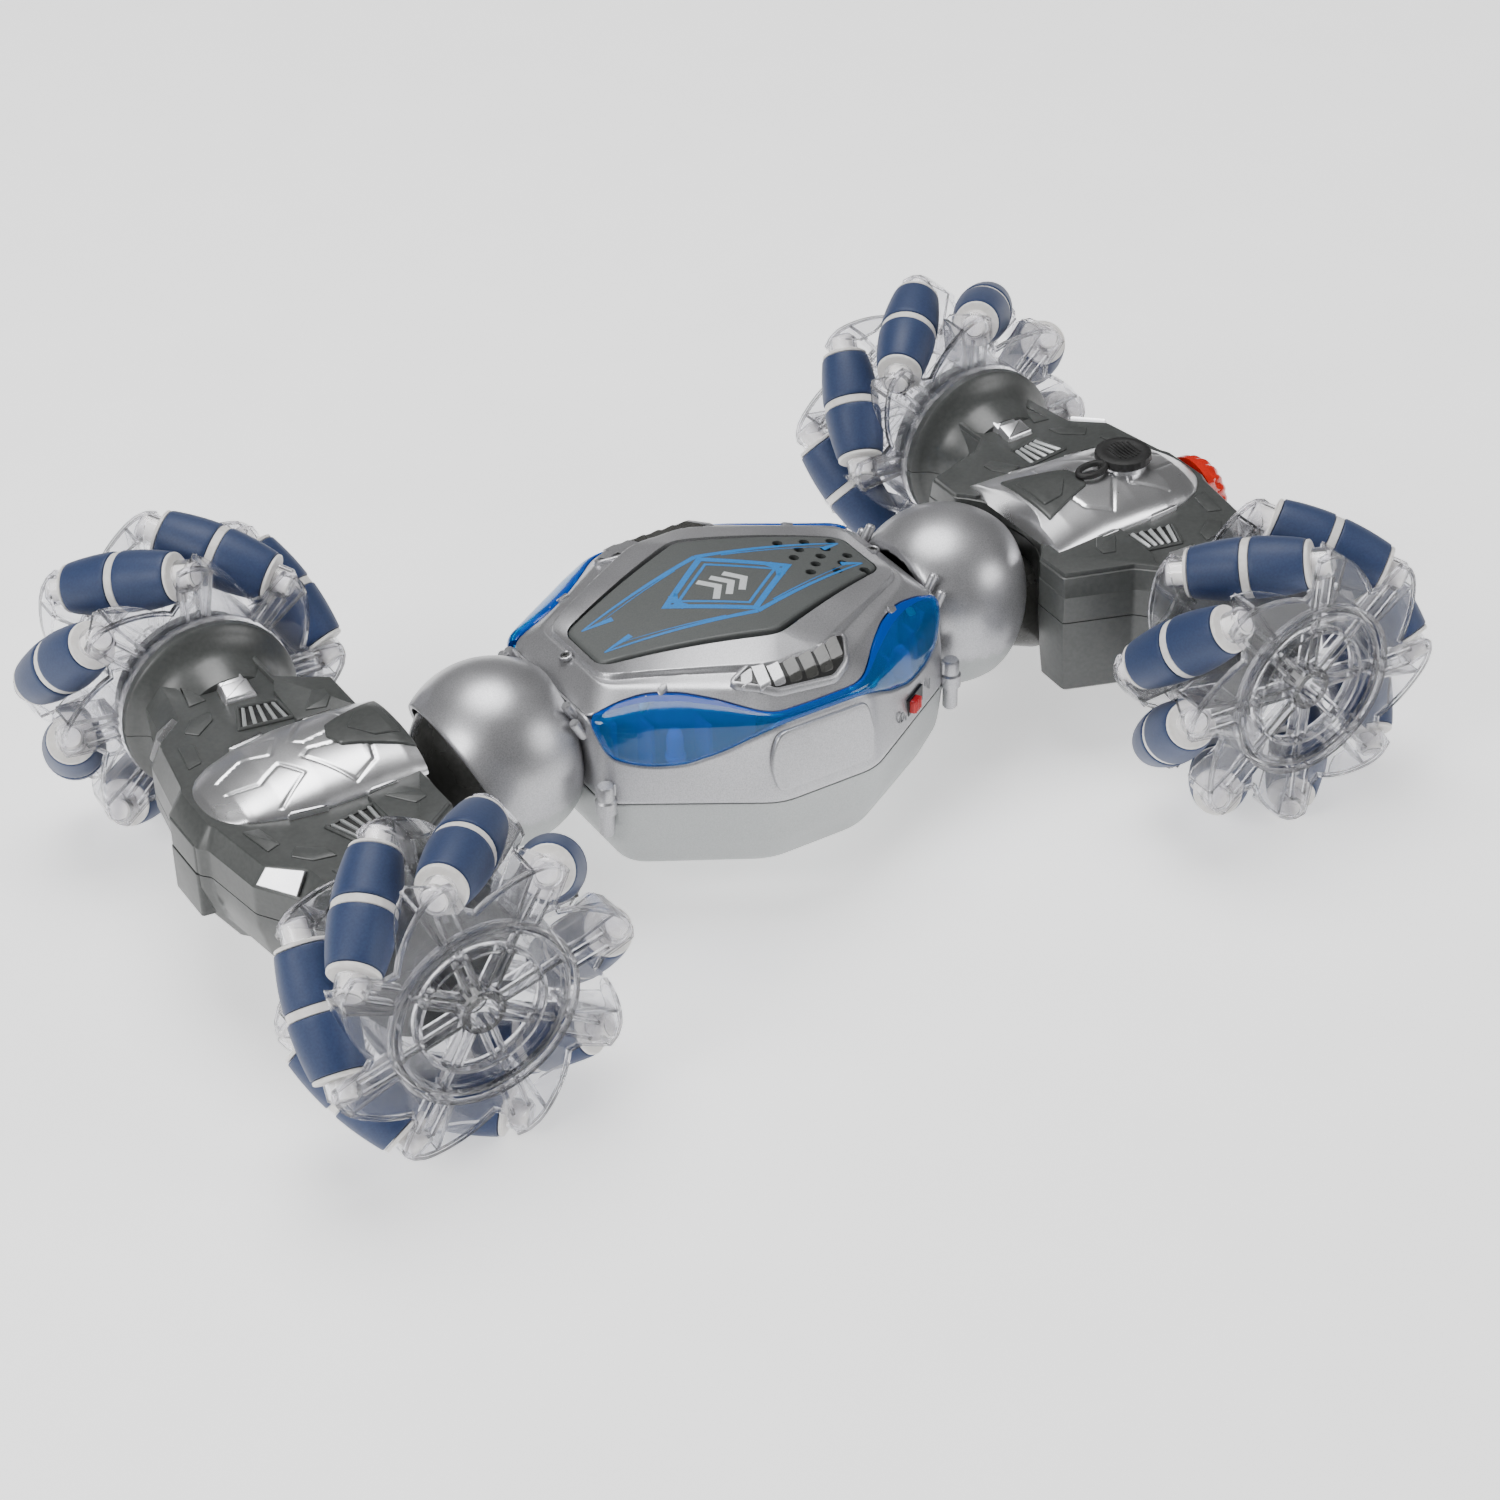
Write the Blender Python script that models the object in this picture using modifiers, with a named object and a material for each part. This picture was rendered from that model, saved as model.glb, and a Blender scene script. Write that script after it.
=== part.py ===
"""Remote control stunt car that twists: a central pod and two axle modules.

Each axle module turns about a tilted axis through a ball neck at its end of
the pod, and carries two mecanum wheels of eight rollers each.
+X points to the rear axle (filler cap and mist nozzle), +Y to the right
side, and the origin lies on the ground under the middle of the car.
"""

import math

import bmesh
import bpy
from mathutils import Matrix, Vector

MM = 0.001
GAP = 0.3                      # mm between pieces that touch

# ---- driving sizes, in mm -------------------------------------------------
WHEELBASE = 273.4
TRACK = 173.2                  # between the wheels' middle planes
WHEEL_RADIUS = 48.3
WHEEL_WIDTH = 39.0

ROLLER_COUNT = 8
ROLLER_CLEARANCE = 1.1         # between neighbouring rollers
RUBBER_HALF = 16.7             # along the roller, from its middle
FLANGE_HALF = 18.0
STUB_HALF = 24.2
STUB_RADIUS = 2.6
ROLLER_SIDES = 8
ROLLER_PHASE = {"front_left": 8.2, "front_right": -21.1,
                "rear_right": -20.8, "rear_left": 26.7}   # degrees from +Z

SOCKET_WALL = 1.3
SOCKET_CLEARANCE = 0.7         # faceted stub in a faceted socket
SOCKET_END = 23.2              # along the roller, from its middle
BARREL_WALL = 2.0
BARREL_SIDES = 16
ARM_WIDTH = 4.2
ARM_DEPTH = 3.0
HUB_RADIUS = 6.5
SPOKE_WIDTH = 2.6
STUB_AXLE_RADIUS = 3.0
AXLE_CLEARANCE = 0.5
AXLE_REACH = 34.0              # stub axle, inwards from the spoked face

DRUM_CLEARANCE = 1.4           # drum inside the wheel's barrel
DRUM_RIM_RADIUS = 27.5
DRUM_NECK_RADIUS = 21.0
DRUM_WALL = 2.0

SHELL_WALL = 2.0
PARTING_HEIGHT = 39.0          # seam between pod cover and tray
POD_HALF_LENGTH = 59.0
POD_HALF_WIDTH = 57.0
POD_FLAT_HALF = 16.0           # straight middle stretch of the pod's side
POD_END_HALF = 30.0            # half width of the pod's ends
POD_BELLY = 8.0                # ground to the flat belly
BELLY_BEVEL_Z = 15.0
TRAY_WAIST_Z = 25.0
SHOULDER_Z = 64.0              # cover's side walls end here
BROW_Z = 71.0
EYE_UPPER = ((-3.0, 62.0), (2.0, 67.5), (12.0, 71.0), (23.0, 72.0), (33.0, 70.0),
             (42.0, 66.5))     # (distance from the pod's end, height)
EYE_LOWER = ((42.0, 62.5), (35.0, 57.0), (27.0, 53.0), (17.0, 50.5), (7.0, 51.5),
             (-2.0, 56.0))
LENS_PROUD = 0.8
DECK_HALF_LENGTH = 47.5
DECK_END_HALF = 10.0
DECK_HALF_WIDTH = 28.5
DECK_TOP = 77.0
DECK_END_TOP = 72.0
DECK_THICKNESS = 2.4

AXIS_ENTRY_Z = 54.87           # twist axis where it enters the pod's end
DOME_RADIUS = 28.0
DOME_WALL = 2.0
DOME_SINK = 9.0                # dome's reach over the pod's end
BALL_CLEARANCE = 1.2           # faceted ball turning in a faceted dome
BALL_WALL = 2.2
TWIST_TILT = 22.5              # degrees, the twist axis dips outwards
OPENING_OFFSET = 11.0          # dome opening plane from its centre
NECK_TUBE_RADIUS = 15.0
SWING_CLEARANCE = 1.3          # module around the dome
NECK_TUBE_OVERLAP = 4.0        # into the axle module
TWIST_SHAFT_RADIUS = 3.6
SHAFT_SEAT = 7.4               # shaft inside the twist motor

MODULE_TOP = 63.0
MODULE_BEVEL = 57.5
MODULE_FLOOR = 22.0
MODULE_CHINE = 33.0
WING_HALF = 36.0               # half width of a wing's inner edge
WING_ROOT = 46.0               # half width where the drums begin
MODULE_WALL = 2.0
NOSE_REACH = 34.8              # nose's outer face, beyond the wheel axis
WING_REACH = {"front": 27.7, "rear": 38.7}   # wings' inner edge, before the axis
DRUM_DEPTH = 11.5              # drum's end, in from the wheel's inner face
HOOD_CREST = 72.0
HOOD_HALF_WIDTH = {"front": 20.0, "rear": 24.0}
HOOD_WALL = 1.5
HOOD_NOTCH = (13.0, 5.0, 20.0)  # half width at the neck and at its tip, length
SADDLE_TOP = 70.0              # grey saddle that fills the hood's notch

BATTERY_SIZE = (64.0, 34.0, 18.0)
BATTERY_CLEARANCE = 1.0
DOOR_THICKNESS = 2.0
DOOR_MARGIN = 3.0
BOARD_SIZE = (64.0, 56.0, 1.6)
BOARD_HEIGHT = 42.0
LED_RADIUS = 2.5
DRIVE_RADIUS = 11.5            # wheel motors, inside the drums
CASE_HALF_WIDTH = 24.0         # gear case between the wheel motors
CASE_LOW = 35.0
CASE_HIGH = 60.2
MOTOR_RADIUS = 6.6             # twist motors, along the twist axis
MOTOR_LENGTH = 11.2
SPEAKER_RADIUS = 9.0
SPEAKER_X = 34.0
SPEAKER_DEPTH = 6.0
HOLE_RADIUS = 1.3
HOLE_STEP = (3.9, 4.4)         # between rows of speaker holes, along and across

CAP_OFFSET = 8.3               # filler, beyond the rear wheel axis
CAP_RADIUS = 8.8
CAP_HEIGHT = 3.4
FILLER_TOP = 72.4
FILLER_RADIUS = 7.4
FILLER_BORE = 5.0
FILLER_DEPTH = 7.6
PLUG_LENGTH = 2.0
NOZZLE_RADIUS = 12.5
NOZZLE_REACH = 8.0             # stands out of the rear module's end
NOZZLE_HEIGHT = 50.5
SWITCH_SIZE = (4.6, 4.4, 4.2)
SWITCH_TRAVEL = 3.5
SWITCH_Z = 45.0

# ---- derived places -------------------------------------------------------
WHEEL_X = WHEELBASE / 2
WHEEL_Y = TRACK / 2
AXLE_HEIGHT = WHEEL_RADIUS
ROLLER_CROWDING = math.sin(math.pi / ROLLER_COUNT) * math.cos(math.pi / 4)
ROLLER_RADIUS = (WHEEL_RADIUS * ROLLER_CROWDING - ROLLER_CLEARANCE / 2) / (1 + ROLLER_CROWDING)
ROLLER_AXIS_RADIUS = WHEEL_RADIUS - ROLLER_RADIUS   # wheel axis to a roller's middle
BARREL_RADIUS = ROLLER_AXIS_RADIUS - ROLLER_RADIUS - 1.0
NECK_X = POD_HALF_LENGTH + DOME_RADIUS - DOME_SINK   # ball joint's centre
BALL_RADIUS = DOME_RADIUS - DOME_WALL - BALL_CLEARANCE
SWING_RADIUS = DOME_RADIUS + SWING_CLEARANCE
DOME_END_HALF = math.sqrt(DOME_RADIUS ** 2 - (DOME_RADIUS - DOME_SINK) ** 2)
EYE_NEAR = DOME_END_HALF + 1.2         # windows keep clear of the dome
MODULE_OUTER = WHEEL_X + NOSE_REACH
CAP_X = WHEEL_X + CAP_OFFSET
SOCKET_BORE = STUB_RADIUS + SOCKET_CLEARANCE
FACE_OUT = WHEEL_WIDTH / 2 - 1.0       # spoked face, from the middle plane
FACE_IN = FACE_OUT - ARM_DEPTH
BARREL_IN = BARREL_RADIUS - BARREL_WALL
DRUM_RADIUS = BARREL_IN * math.cos(math.pi / BARREL_SIDES) - DRUM_CLEARANCE
RIM_Y = WHEEL_Y - WHEEL_WIDTH / 2 - 1.0
DRUM_END_Y = WHEEL_Y - WHEEL_WIDTH / 2 + DRUM_DEPTH
TILT = math.radians(TWIST_TILT)
NECK_Z = AXIS_ENTRY_Z - (NECK_X - POD_HALF_LENGTH) * math.tan(TILT)
MOTOR_FRONT = (NECK_X - POD_HALF_LENGTH + SHELL_WALL
               + MOTOR_RADIUS * math.sin(TILT)) / math.cos(TILT) + GAP / 2   # from the ball
MOTOR_BACK = MOTOR_FRONT + MOTOR_LENGTH
TWIST_SHAFT_END = MOTOR_FRONT + SHAFT_SEAT
END_NAMES = (("front", -1), ("rear", 1))
SIDE_NAMES = (("left", -1), ("right", 1))


# ---- scene and materials --------------------------------------------------
def clear_scene():
    """Take away whatever the file holds."""
    for old in list(bpy.data.objects):
        bpy.data.objects.remove(old, do_unlink=True)


def new_collection(name):
    made = bpy.data.collections.new(name)
    bpy.context.scene.collection.children.link(made)
    return made


def material(name, colour, roughness, metallic=0.0):
    made = bpy.data.materials.new(name)
    made.use_nodes = True
    shader = made.node_tree.nodes["Principled BSDF"]
    shader.inputs["Base Color"].default_value = (*colour, 1.0)
    shader.inputs["Roughness"].default_value = roughness
    shader.inputs["Metallic"].default_value = metallic
    made.diffuse_color = (*colour, 1.0)
    return made


# ---- mesh helpers, all taking mm ------------------------------------------
def mesh_object(name, bm, collection, finish=None, matrix=None):
    """Turn a bmesh in mm into an object in metres."""
    bmesh.ops.scale(bm, vec=(MM, MM, MM), verts=bm.verts)
    bmesh.ops.recalc_face_normals(bm, faces=bm.faces)
    mesh = bpy.data.meshes.new(name)
    bm.to_mesh(mesh)
    bm.free()
    made = bpy.data.objects.new(name, mesh)
    collection.objects.link(made)
    if finish:
        mesh.materials.append(finish)
    if matrix is not None:
        made.matrix_world = place(matrix)
    return made


def place(matrix):
    """The same rigid placing, with its shift taken from mm to metres."""
    scaled = matrix.copy()
    scaled.translation = matrix.translation * MM
    return scaled


def add_cylinder(bm, radius, low, high, sides, matrix=None, top_radius=None):
    """A cylinder or cone along Z from low to high, in the matrix's frame."""
    shift = Matrix.Translation((0, 0, (low + high) / 2))
    bmesh.ops.create_cone(bm, cap_ends=True, segments=sides, radius1=radius,
                          radius2=radius if top_radius is None else top_radius,
                          depth=high - low, matrix=(matrix or Matrix()) @ shift)


def add_box(bm, low, high, matrix=None):
    """A box between two corners, in the matrix's frame."""
    size = [h - l for l, h in zip(low, high)]
    centre = [(h + l) / 2 for l, h in zip(low, high)]
    shift = Matrix.Translation(centre) @ Matrix.Diagonal((*size, 1.0))
    bmesh.ops.create_cube(bm, size=1.0, matrix=(matrix or Matrix()) @ shift)


def loft(bm, sections, cap=(True, True)):
    """Skin closed sections of equal point count, in order."""
    rings = [[bm.verts.new(p) for p in section] for section in sections]
    count = len(rings[0])
    for lower, upper in zip(rings, rings[1:]):
        for i in range(count):
            j = (i + 1) % count
            bm.faces.new((lower[i], lower[j], upper[j], upper[i]))
    if cap[0]:
        bm.faces.new(list(reversed(rings[0])))
    if cap[1]:
        bm.faces.new(rings[-1])
    return rings


def turned(name, profile, steps, collection, finish=None, matrix=None):
    """Turn an (radius, height) profile, top to bottom, about the Z axis."""
    bm = bmesh.new()
    verts = [bm.verts.new((r, 0, z)) for r, z in profile]
    for a, b in zip(verts, verts[1:]):
        bm.edges.new((a, b))
    made = mesh_object(name, bm, collection, finish, matrix)
    screw = made.modifiers.new("turn", "SCREW")
    screw.axis = "Z"
    screw.steps = steps
    screw.render_steps = steps
    screw.use_merge_vertices = True
    screw.merge_threshold = 0.00001
    screw.use_smooth_shade = True
    return made


def boolean(target, tool, operation):
    """Join or cut with another object, which goes to the cutters."""
    step = target.modifiers.new(operation.lower(), "BOOLEAN")
    step.operation = operation
    step.solver = "EXACT"
    step.object = tool
    tool.hide_render = True
    tool.display_type = "WIRE"
    return step


def frame_from_axis(origin, axis, side):
    """A frame whose Z runs along axis and whose X leans towards side."""
    z = Vector(axis).normalized()
    y = z.cross(Vector(side)).normalized()
    x = y.cross(z)
    turn = Matrix((x, y, z)).transposed().to_4x4()
    return Matrix.Translation(origin) @ turn


# ---- wheels ---------------------------------------------------------------
def wheel_centre(sx, sy):
    return Vector((sx * WHEEL_X, sy * WHEEL_Y, AXLE_HEIGHT))


def roller_frame(sx, sy, degrees):
    """Origin in the middle of a roller, Z along it, X away from the axle.

    The roller lies at 45 degrees to the wheel's axis, and the upper rollers
    of the four wheels form an X when seen from above.
    """
    angle = math.radians(degrees)
    outwards = Vector((math.sin(angle), 0, math.cos(angle)))
    around = Vector((math.cos(angle), 0, -math.sin(angle)))
    along = (-sx * around - sy * Vector((0, 1, 0))).normalized()
    middle = wheel_centre(sx, sy) + ROLLER_AXIS_RADIUS * outwards
    return frame_from_axis(middle, along, outwards)


def roller_radius(along):
    """Radius at which a roller touches the wheel's round envelope."""
    return WHEEL_RADIUS - math.hypot(ROLLER_AXIS_RADIUS, along / math.sqrt(2))


def roller_profile():
    """Stub, flange and crowned rubber, from one end to the other."""
    crown = [RUBBER_HALF, RUBBER_HALF * 0.55, 0.0]
    half = [(0.0, STUB_HALF), (STUB_RADIUS, STUB_HALF), (STUB_RADIUS, FLANGE_HALF)]
    half.append((roller_radius(RUBBER_HALF) - 0.6, FLANGE_HALF))
    half += [(roller_radius(d), d) for d in crown[1:]]
    return half + [(r, -d) for r, d in reversed(half[:-1])]


def make_cage(name, sx, sy, phase, collection, cutters, finish):
    """Clear wheel body: barrel, spoked face, stub axle, arms and sockets."""
    centre = wheel_centre(sx, sy)
    hub_frame = frame_from_axis(centre, (0, sy, 0), (0, 0, 1))
    hub_frame = hub_frame @ Matrix.Rotation(math.radians(sy * phase), 4, "Z")
    half_side = Matrix.Rotation(math.pi / BARREL_SIDES, 4, "Z")
    bm = bmesh.new()
    add_cylinder(bm, BARREL_RADIUS, -FACE_OUT, FACE_OUT, BARREL_SIDES, hub_frame @ half_side)
    cage = mesh_object(name, bm, collection, finish)
    bm = bmesh.new()
    add_cylinder(bm, BARREL_IN, -FACE_OUT - 5, FACE_OUT + 5, BARREL_SIDES,
                 hub_frame @ half_side)
    boolean(cage, mesh_object(name + "_bore", bm, cutters), "DIFFERENCE")

    pieces = bmesh.new()
    add_cylinder(pieces, HUB_RADIUS, FACE_IN - 2.0, FACE_OUT - 0.6, 8, hub_frame)
    hub = mesh_object(name + "_hub", pieces, cutters)
    spoke_bm = bmesh.new()
    for k in range(ROLLER_COUNT):
        turn = Matrix.Rotation(math.radians(360 / ROLLER_COUNT * (k + 0.5)), 4, "Z")
        add_box(spoke_bm, (HUB_RADIUS - 2.5, -SPOKE_WIDTH / 2, FACE_IN - 1.0),
                (BARREL_IN + 1.0, SPOKE_WIDTH / 2, FACE_IN + 1.2), hub_frame @ turn)
    boolean(hub, mesh_object(name + "_spokes", spoke_bm, cutters), "UNION")
    axle = bmesh.new()
    add_cylinder(axle, STUB_AXLE_RADIUS, FACE_IN - AXLE_REACH, FACE_IN, 8, hub_frame)
    boolean(hub, mesh_object(name + "_axle", axle, cutters), "UNION")
    boolean(cage, hub, "UNION")

    arms = bmesh.new()
    bosses = bmesh.new()
    bores = bmesh.new()
    for k in range(ROLLER_COUNT):
        frame = roller_frame(sx, sy, phase + 360 / ROLLER_COUNT * k)
        for end in (-1, 1):
            low, high = sorted((end * (FLANGE_HALF + 0.6), end * SOCKET_END))
            add_cylinder(bosses, SOCKET_BORE + SOCKET_WALL, low, high, 6, frame)
            add_cylinder(bores, SOCKET_BORE, low - 3, high + 3, 6, frame)
            add_arm(arms, hub_frame, frame, (low + high) / 2)
    boolean(cage, mesh_object(name + "_arms", arms, cutters), "UNION")
    boolean(cage, mesh_object(name + "_bosses", bosses, cutters), "UNION")
    boolean(cage, mesh_object(name + "_sockets", bores, cutters), "DIFFERENCE")
    return cage


def add_arm(bm, hub_frame, roller, along):
    """A flat arm from the barrel out to the socket at this place."""
    spot = hub_frame.inverted() @ (roller @ Vector((0, 0, along)))
    reach = math.hypot(spot.x, spot.y) - SOCKET_BORE * 1.05
    turn = Matrix.Rotation(math.atan2(spot.y, spot.x), 4, "Z")
    face = math.copysign(FACE_OUT - ARM_DEPTH / 2, spot.z)
    add_box(bm, (BARREL_RADIUS - 1.2, -ARM_WIDTH / 2, face - ARM_DEPTH / 2),
            (reach, ARM_WIDTH / 2, face + ARM_DEPTH / 2), hub_frame @ turn)


# ---- pod ------------------------------------------------------------------
def crown(x):
    """Height of the deck, arched from end to end."""
    return DECK_TOP - (DECK_TOP - DECK_END_TOP) * (x / DECK_HALF_LENGTH) ** 2


def pod_ring(x1, y1, x2, y2, height, arched=False):
    """Twelve points round the pod: the long side's ends, middle and corner."""
    xm, ym = (x1 + x2) / 2, (y1 + y2) / 2
    half = [(x2, y2), (xm, ym), (x1, y1), (-x1, y1), (-xm, ym), (-x2, y2)]
    ring = half + [(-x, -y) for x, y in half]
    return [(x, y, crown(x) + height if arched else height) for x, y in ring]


def cover_rings(inset=0.0):
    """Cover sections from the parting line up to the deck's seat."""
    seat = -DECK_THICKNESS - GAP
    low = PARTING_HEIGHT + GAP / 2
    w, l, f, e = POD_HALF_WIDTH, POD_HALF_LENGTH, POD_FLAT_HALF, POD_END_HALF
    rows = [(f, w, l, e, low, False), (f, w - 4, l + 1, e - 5, SHOULDER_Z, False),
            (f - 2, w - 13, l - 7, e - 12, BROW_Z - inset * 0.5, False),
            (4, DECK_HALF_WIDTH + 2.5, DECK_HALF_LENGTH + 2.5, DECK_END_HALF + 2.5,
             seat - inset, True)]
    return [pod_ring(a - inset * 0.3, b - inset, c - inset, d - inset * 0.7, z, arched)
            for a, b, c, d, z, arched in rows]


def strip_cap(bm, ring):
    """Close a twelve point ring with strips across the pod."""
    for i in range(5):
        bm.faces.new((ring[i], ring[i + 1], ring[10 - i], ring[11 - i]))


def shell_from(name, outer, inner, collection, finish, closed_top):
    """A shell between outer and inner rings, open at the first ring."""
    bm = bmesh.new()
    skins = [loft(bm, rings, cap=(False, False)) for rings in (outer, inner)]
    for rings in skins:
        if closed_top:
            strip_cap(bm, rings[-1])
    count = len(outer[0])
    for i in range(count):
        j = (i + 1) % count
        bm.faces.new((skins[0][0][i], skins[0][0][j], skins[1][0][j], skins[1][0][i]))
    return mesh_object(name, bm, collection, finish)


def eye_outline():
    """One side's light window, front eye, band and rear eye, as (x, z)."""
    upper, lower = ([(d - POD_HALF_LENGTH, z) for d, z in edge] for edge in (EYE_UPPER, EYE_LOWER))
    mirrored_upper = [(-x, z) for x, z in reversed(upper)]
    mirrored_lower = [(-x, z) for x, z in reversed(lower)]
    return upper + mirrored_upper + mirrored_lower + lower


def grown(outline, margin):
    """The outline moved outwards by a margin along its corners' normals."""
    count = len(outline)
    turning = sum(a[0] * b[1] - b[0] * a[1]
                  for a, b in zip(outline, outline[1:] + outline[:1]))
    sign = 1.0 if turning > 0 else -1.0
    made = []
    for i in range(count):
        before, here, after = (Vector(outline[(i + k) % count]) for k in (-1, 0, 1))
        n1 = Vector(((here - before).y, -(here - before).x)).normalized() * sign
        n2 = Vector(((after - here).y, -(after - here).x)).normalized() * sign
        bisector = (n1 + n2).normalized()
        made.append(tuple(here + bisector * margin / max(0.5, bisector.dot(n1))))
    return made


def prism(name, outline, near, far, collection):
    """An (x, z) outline carried along Y between two distances."""
    bm = bmesh.new()
    loft(bm, [[(x, y, z) for x, z in outline] for y in (near, far)])
    return mesh_object(name, bm, collection)


def make_pod_cover(parts, cutters, finish):
    cover = shell_from("pod_cover", cover_rings(), cover_rings(SHELL_WALL),
                       parts, finish, True)
    for side, sy in SIDE_NAMES:
        window = grown(eye_outline(), GAP)
        near, far = sy * (EYE_NEAR - GAP), sy * (POD_HALF_WIDTH + 18.0)
        boolean(cover, prism("window_" + side, window, near, far, cutters), "DIFFERENCE")
    for end, sx in END_NAMES:
        bm = bmesh.new()
        add_cylinder(bm, TWIST_SHAFT_RADIUS + 2, -40, 0, 8, twist_frame(sx))
        boolean(cover, mesh_object("shaft_hole_" + end, bm, cutters), "DIFFERENCE")
    bm = bmesh.new()
    add_cylinder(bm, SPEAKER_RADIUS - 2, DECK_TOP - 17, DECK_TOP + 13, 8,
                 Matrix.Translation((SPEAKER_X, 0, 0)))
    boolean(cover, mesh_object("speaker_opening", bm, cutters), "DIFFERENCE")
    boolean(cover, switch_slot(cutters), "DIFFERENCE")
    return cover


def make_lens(side, sy, parts, cutters, finish):
    """A translucent window as thick as the cover, slightly proud of it."""
    near, far = sy * EYE_NEAR, sy * (POD_HALF_WIDTH + 13.0)
    lens = prism("light_lens_" + side, eye_outline(), near, far, parts)
    lens.data.materials.append(finish)
    band = shell_from("lens_band_" + side, cover_rings(-LENS_PROUD), cover_rings(SHELL_WALL),
                      cutters, None, True)
    boolean(lens, band, "INTERSECT")
    return lens


def make_deck(parts, cutters, finish):
    """Arched hexagonal panel with thirteen speaker holes."""
    bm = bmesh.new()
    sections = []
    for x in (-DECK_HALF_LENGTH, -DECK_HALF_LENGTH / 2, 0.0,
              DECK_HALF_LENGTH / 2, DECK_HALF_LENGTH):
        part = abs(x) / DECK_HALF_LENGTH
        half = DECK_HALF_WIDTH + (DECK_END_HALF - DECK_HALF_WIDTH) * part
        top, low = crown(x), crown(x) - DECK_THICKNESS
        sections.append([(x, -half, low), (x, half, low), (x, half, top), (x, -half, top)])
    loft(bm, sections)
    deck = mesh_object("deck_panel", bm, parts, finish)
    bm = bmesh.new()
    for x, y in speaker_holes():
        add_cylinder(bm, HOLE_RADIUS, DECK_TOP - 17, DECK_TOP + 13, 4, Matrix.Translation((x, y, 0)))
    boolean(deck, mesh_object("speaker_holes", bm, cutters), "DIFFERENCE")
    return deck


def speaker_holes():
    """Thirteen holes in five staggered rows."""
    return [(SPEAKER_X + HOLE_STEP[0] * row, HOLE_STEP[1] * column)
            for row in range(-2, 3) for column in range(-2, 3) if (row + column) % 2 == 0]


def tray_rings(inset=0.0):
    """Tray sections from the parting line down to the flat belly."""
    w, l, f, e = POD_HALF_WIDTH, POD_HALF_LENGTH, POD_FLAT_HALF, POD_END_HALF
    rows = [(f, w, l, e, PARTING_HEIGHT - GAP / 2), (f, w - 3, l - 2, e, TRAY_WAIST_Z),
            (f - 1, w - 8, l - 8, e - 1, BELLY_BEVEL_Z), (f - 3, w - 16, l - 20, e - 6, POD_BELLY)]
    made = []
    for index, (a, b, c, d, z) in enumerate(rows):
        lift = inset if index == 3 else inset * 0.6 if index == 2 else 0.0
        made.append(pod_ring(a - inset * 0.3, b - inset, c - inset, d - inset * 0.7,
                             z + lift))
    return made


def make_pod_tray(parts, cutters, finish):
    tray = shell_from("pod_tray", tray_rings(), tray_rings(SHELL_WALL), parts, finish, True)
    half_x, half_y = door_half()
    bm = bmesh.new()
    add_box(bm, (-half_x - GAP, -half_y - GAP, POD_BELLY - 5),
            (half_x + GAP, half_y + GAP, POD_BELLY + DOOR_THICKNESS + 5))
    boolean(tray, mesh_object("door_opening", bm, cutters), "DIFFERENCE")
    return tray


def door_half():
    return (BATTERY_SIZE[0] / 2 - DOOR_MARGIN, BATTERY_SIZE[1] / 2 - DOOR_MARGIN)


def box_node(name, low, high, parts, finish):
    bm = bmesh.new()
    add_box(bm, low, high)
    return mesh_object(name, bm, parts, finish)


def make_battery(parts, plastic, pack):
    half_x, half_y = door_half()
    box_node("battery_door", (-half_x, -half_y, POD_BELLY),
             (half_x, half_y, POD_BELLY + DOOR_THICKNESS), parts, plastic)
    low = POD_BELLY + DOOR_THICKNESS + BATTERY_CLEARANCE
    x, y, z = BATTERY_SIZE
    box_node("battery_pack", (-x / 2, -y / 2, low), (x / 2, y / 2, low + z), parts, pack)


def led_places():
    """Lamps behind each eye, level with the board's edge."""
    edge = BOARD_SIZE[1] / 2
    return [(sx * 26.0, sy * (edge - 3.0)) for sx in (-1, 1) for sy in (-1, 1)]


def make_board(parts, cutters, finish):
    """Circuit board with its main chip and the four lamps."""
    x, y, z = BOARD_SIZE
    board = box_node("circuit_board", (-x / 2, -y / 2, BOARD_HEIGHT),
                     (x / 2, y / 2, BOARD_HEIGHT + z), parts, finish)
    bm = bmesh.new()
    top = BOARD_HEIGHT + z
    for px, py in led_places():
        add_cylinder(bm, LED_RADIUS, top - 0.5, top + 9, 6, Matrix.Translation((px, py, 0)))
    add_box(bm, (-9, -9, top - 0.5), (7, 7, top + 3))
    boolean(board, mesh_object("board_parts", bm, cutters), "UNION")
    return board


def switch_frame():
    """On the side wall's rear slant: X towards ON, Z outwards."""
    start = Vector((POD_FLAT_HALF, -POD_HALF_WIDTH, 0))
    end = Vector((POD_HALF_LENGTH, -POD_END_HALF, 0))
    along = (end - start).normalized()
    outwards = Vector((along.y, -along.x, 0))
    middle = start + (end - start) * 0.52
    middle.z = SWITCH_Z
    return frame_from_axis(middle, outwards, along)


def switch_slot(cutters):
    bm = bmesh.new()
    x, y, z = SWITCH_SIZE
    add_box(bm, (-x / 2 - GAP, -y / 2 - GAP, -8), (x / 2 + SWITCH_TRAVEL + GAP, y / 2 + GAP, 8),
            switch_frame())
    return mesh_object("switch_slot", bm, cutters)


def make_switch(parts, finish):
    bm = bmesh.new()
    x, y, z = SWITCH_SIZE
    add_box(bm, (-x / 2, -y / 2, -5.5), (x / 2, y / 2, z - 2.4))
    return mesh_object("power_switch", bm, parts, finish, switch_frame())


# ---- necks ----------------------------------------------------------------
def twist_frame(sx):
    """Origin at the ball's centre, Z out along the twist axis."""
    axis = (sx * math.cos(TILT), 0, -math.sin(TILT))
    return frame_from_axis((sx * NECK_X, 0, NECK_Z), axis, (0, 1, 0))


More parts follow.
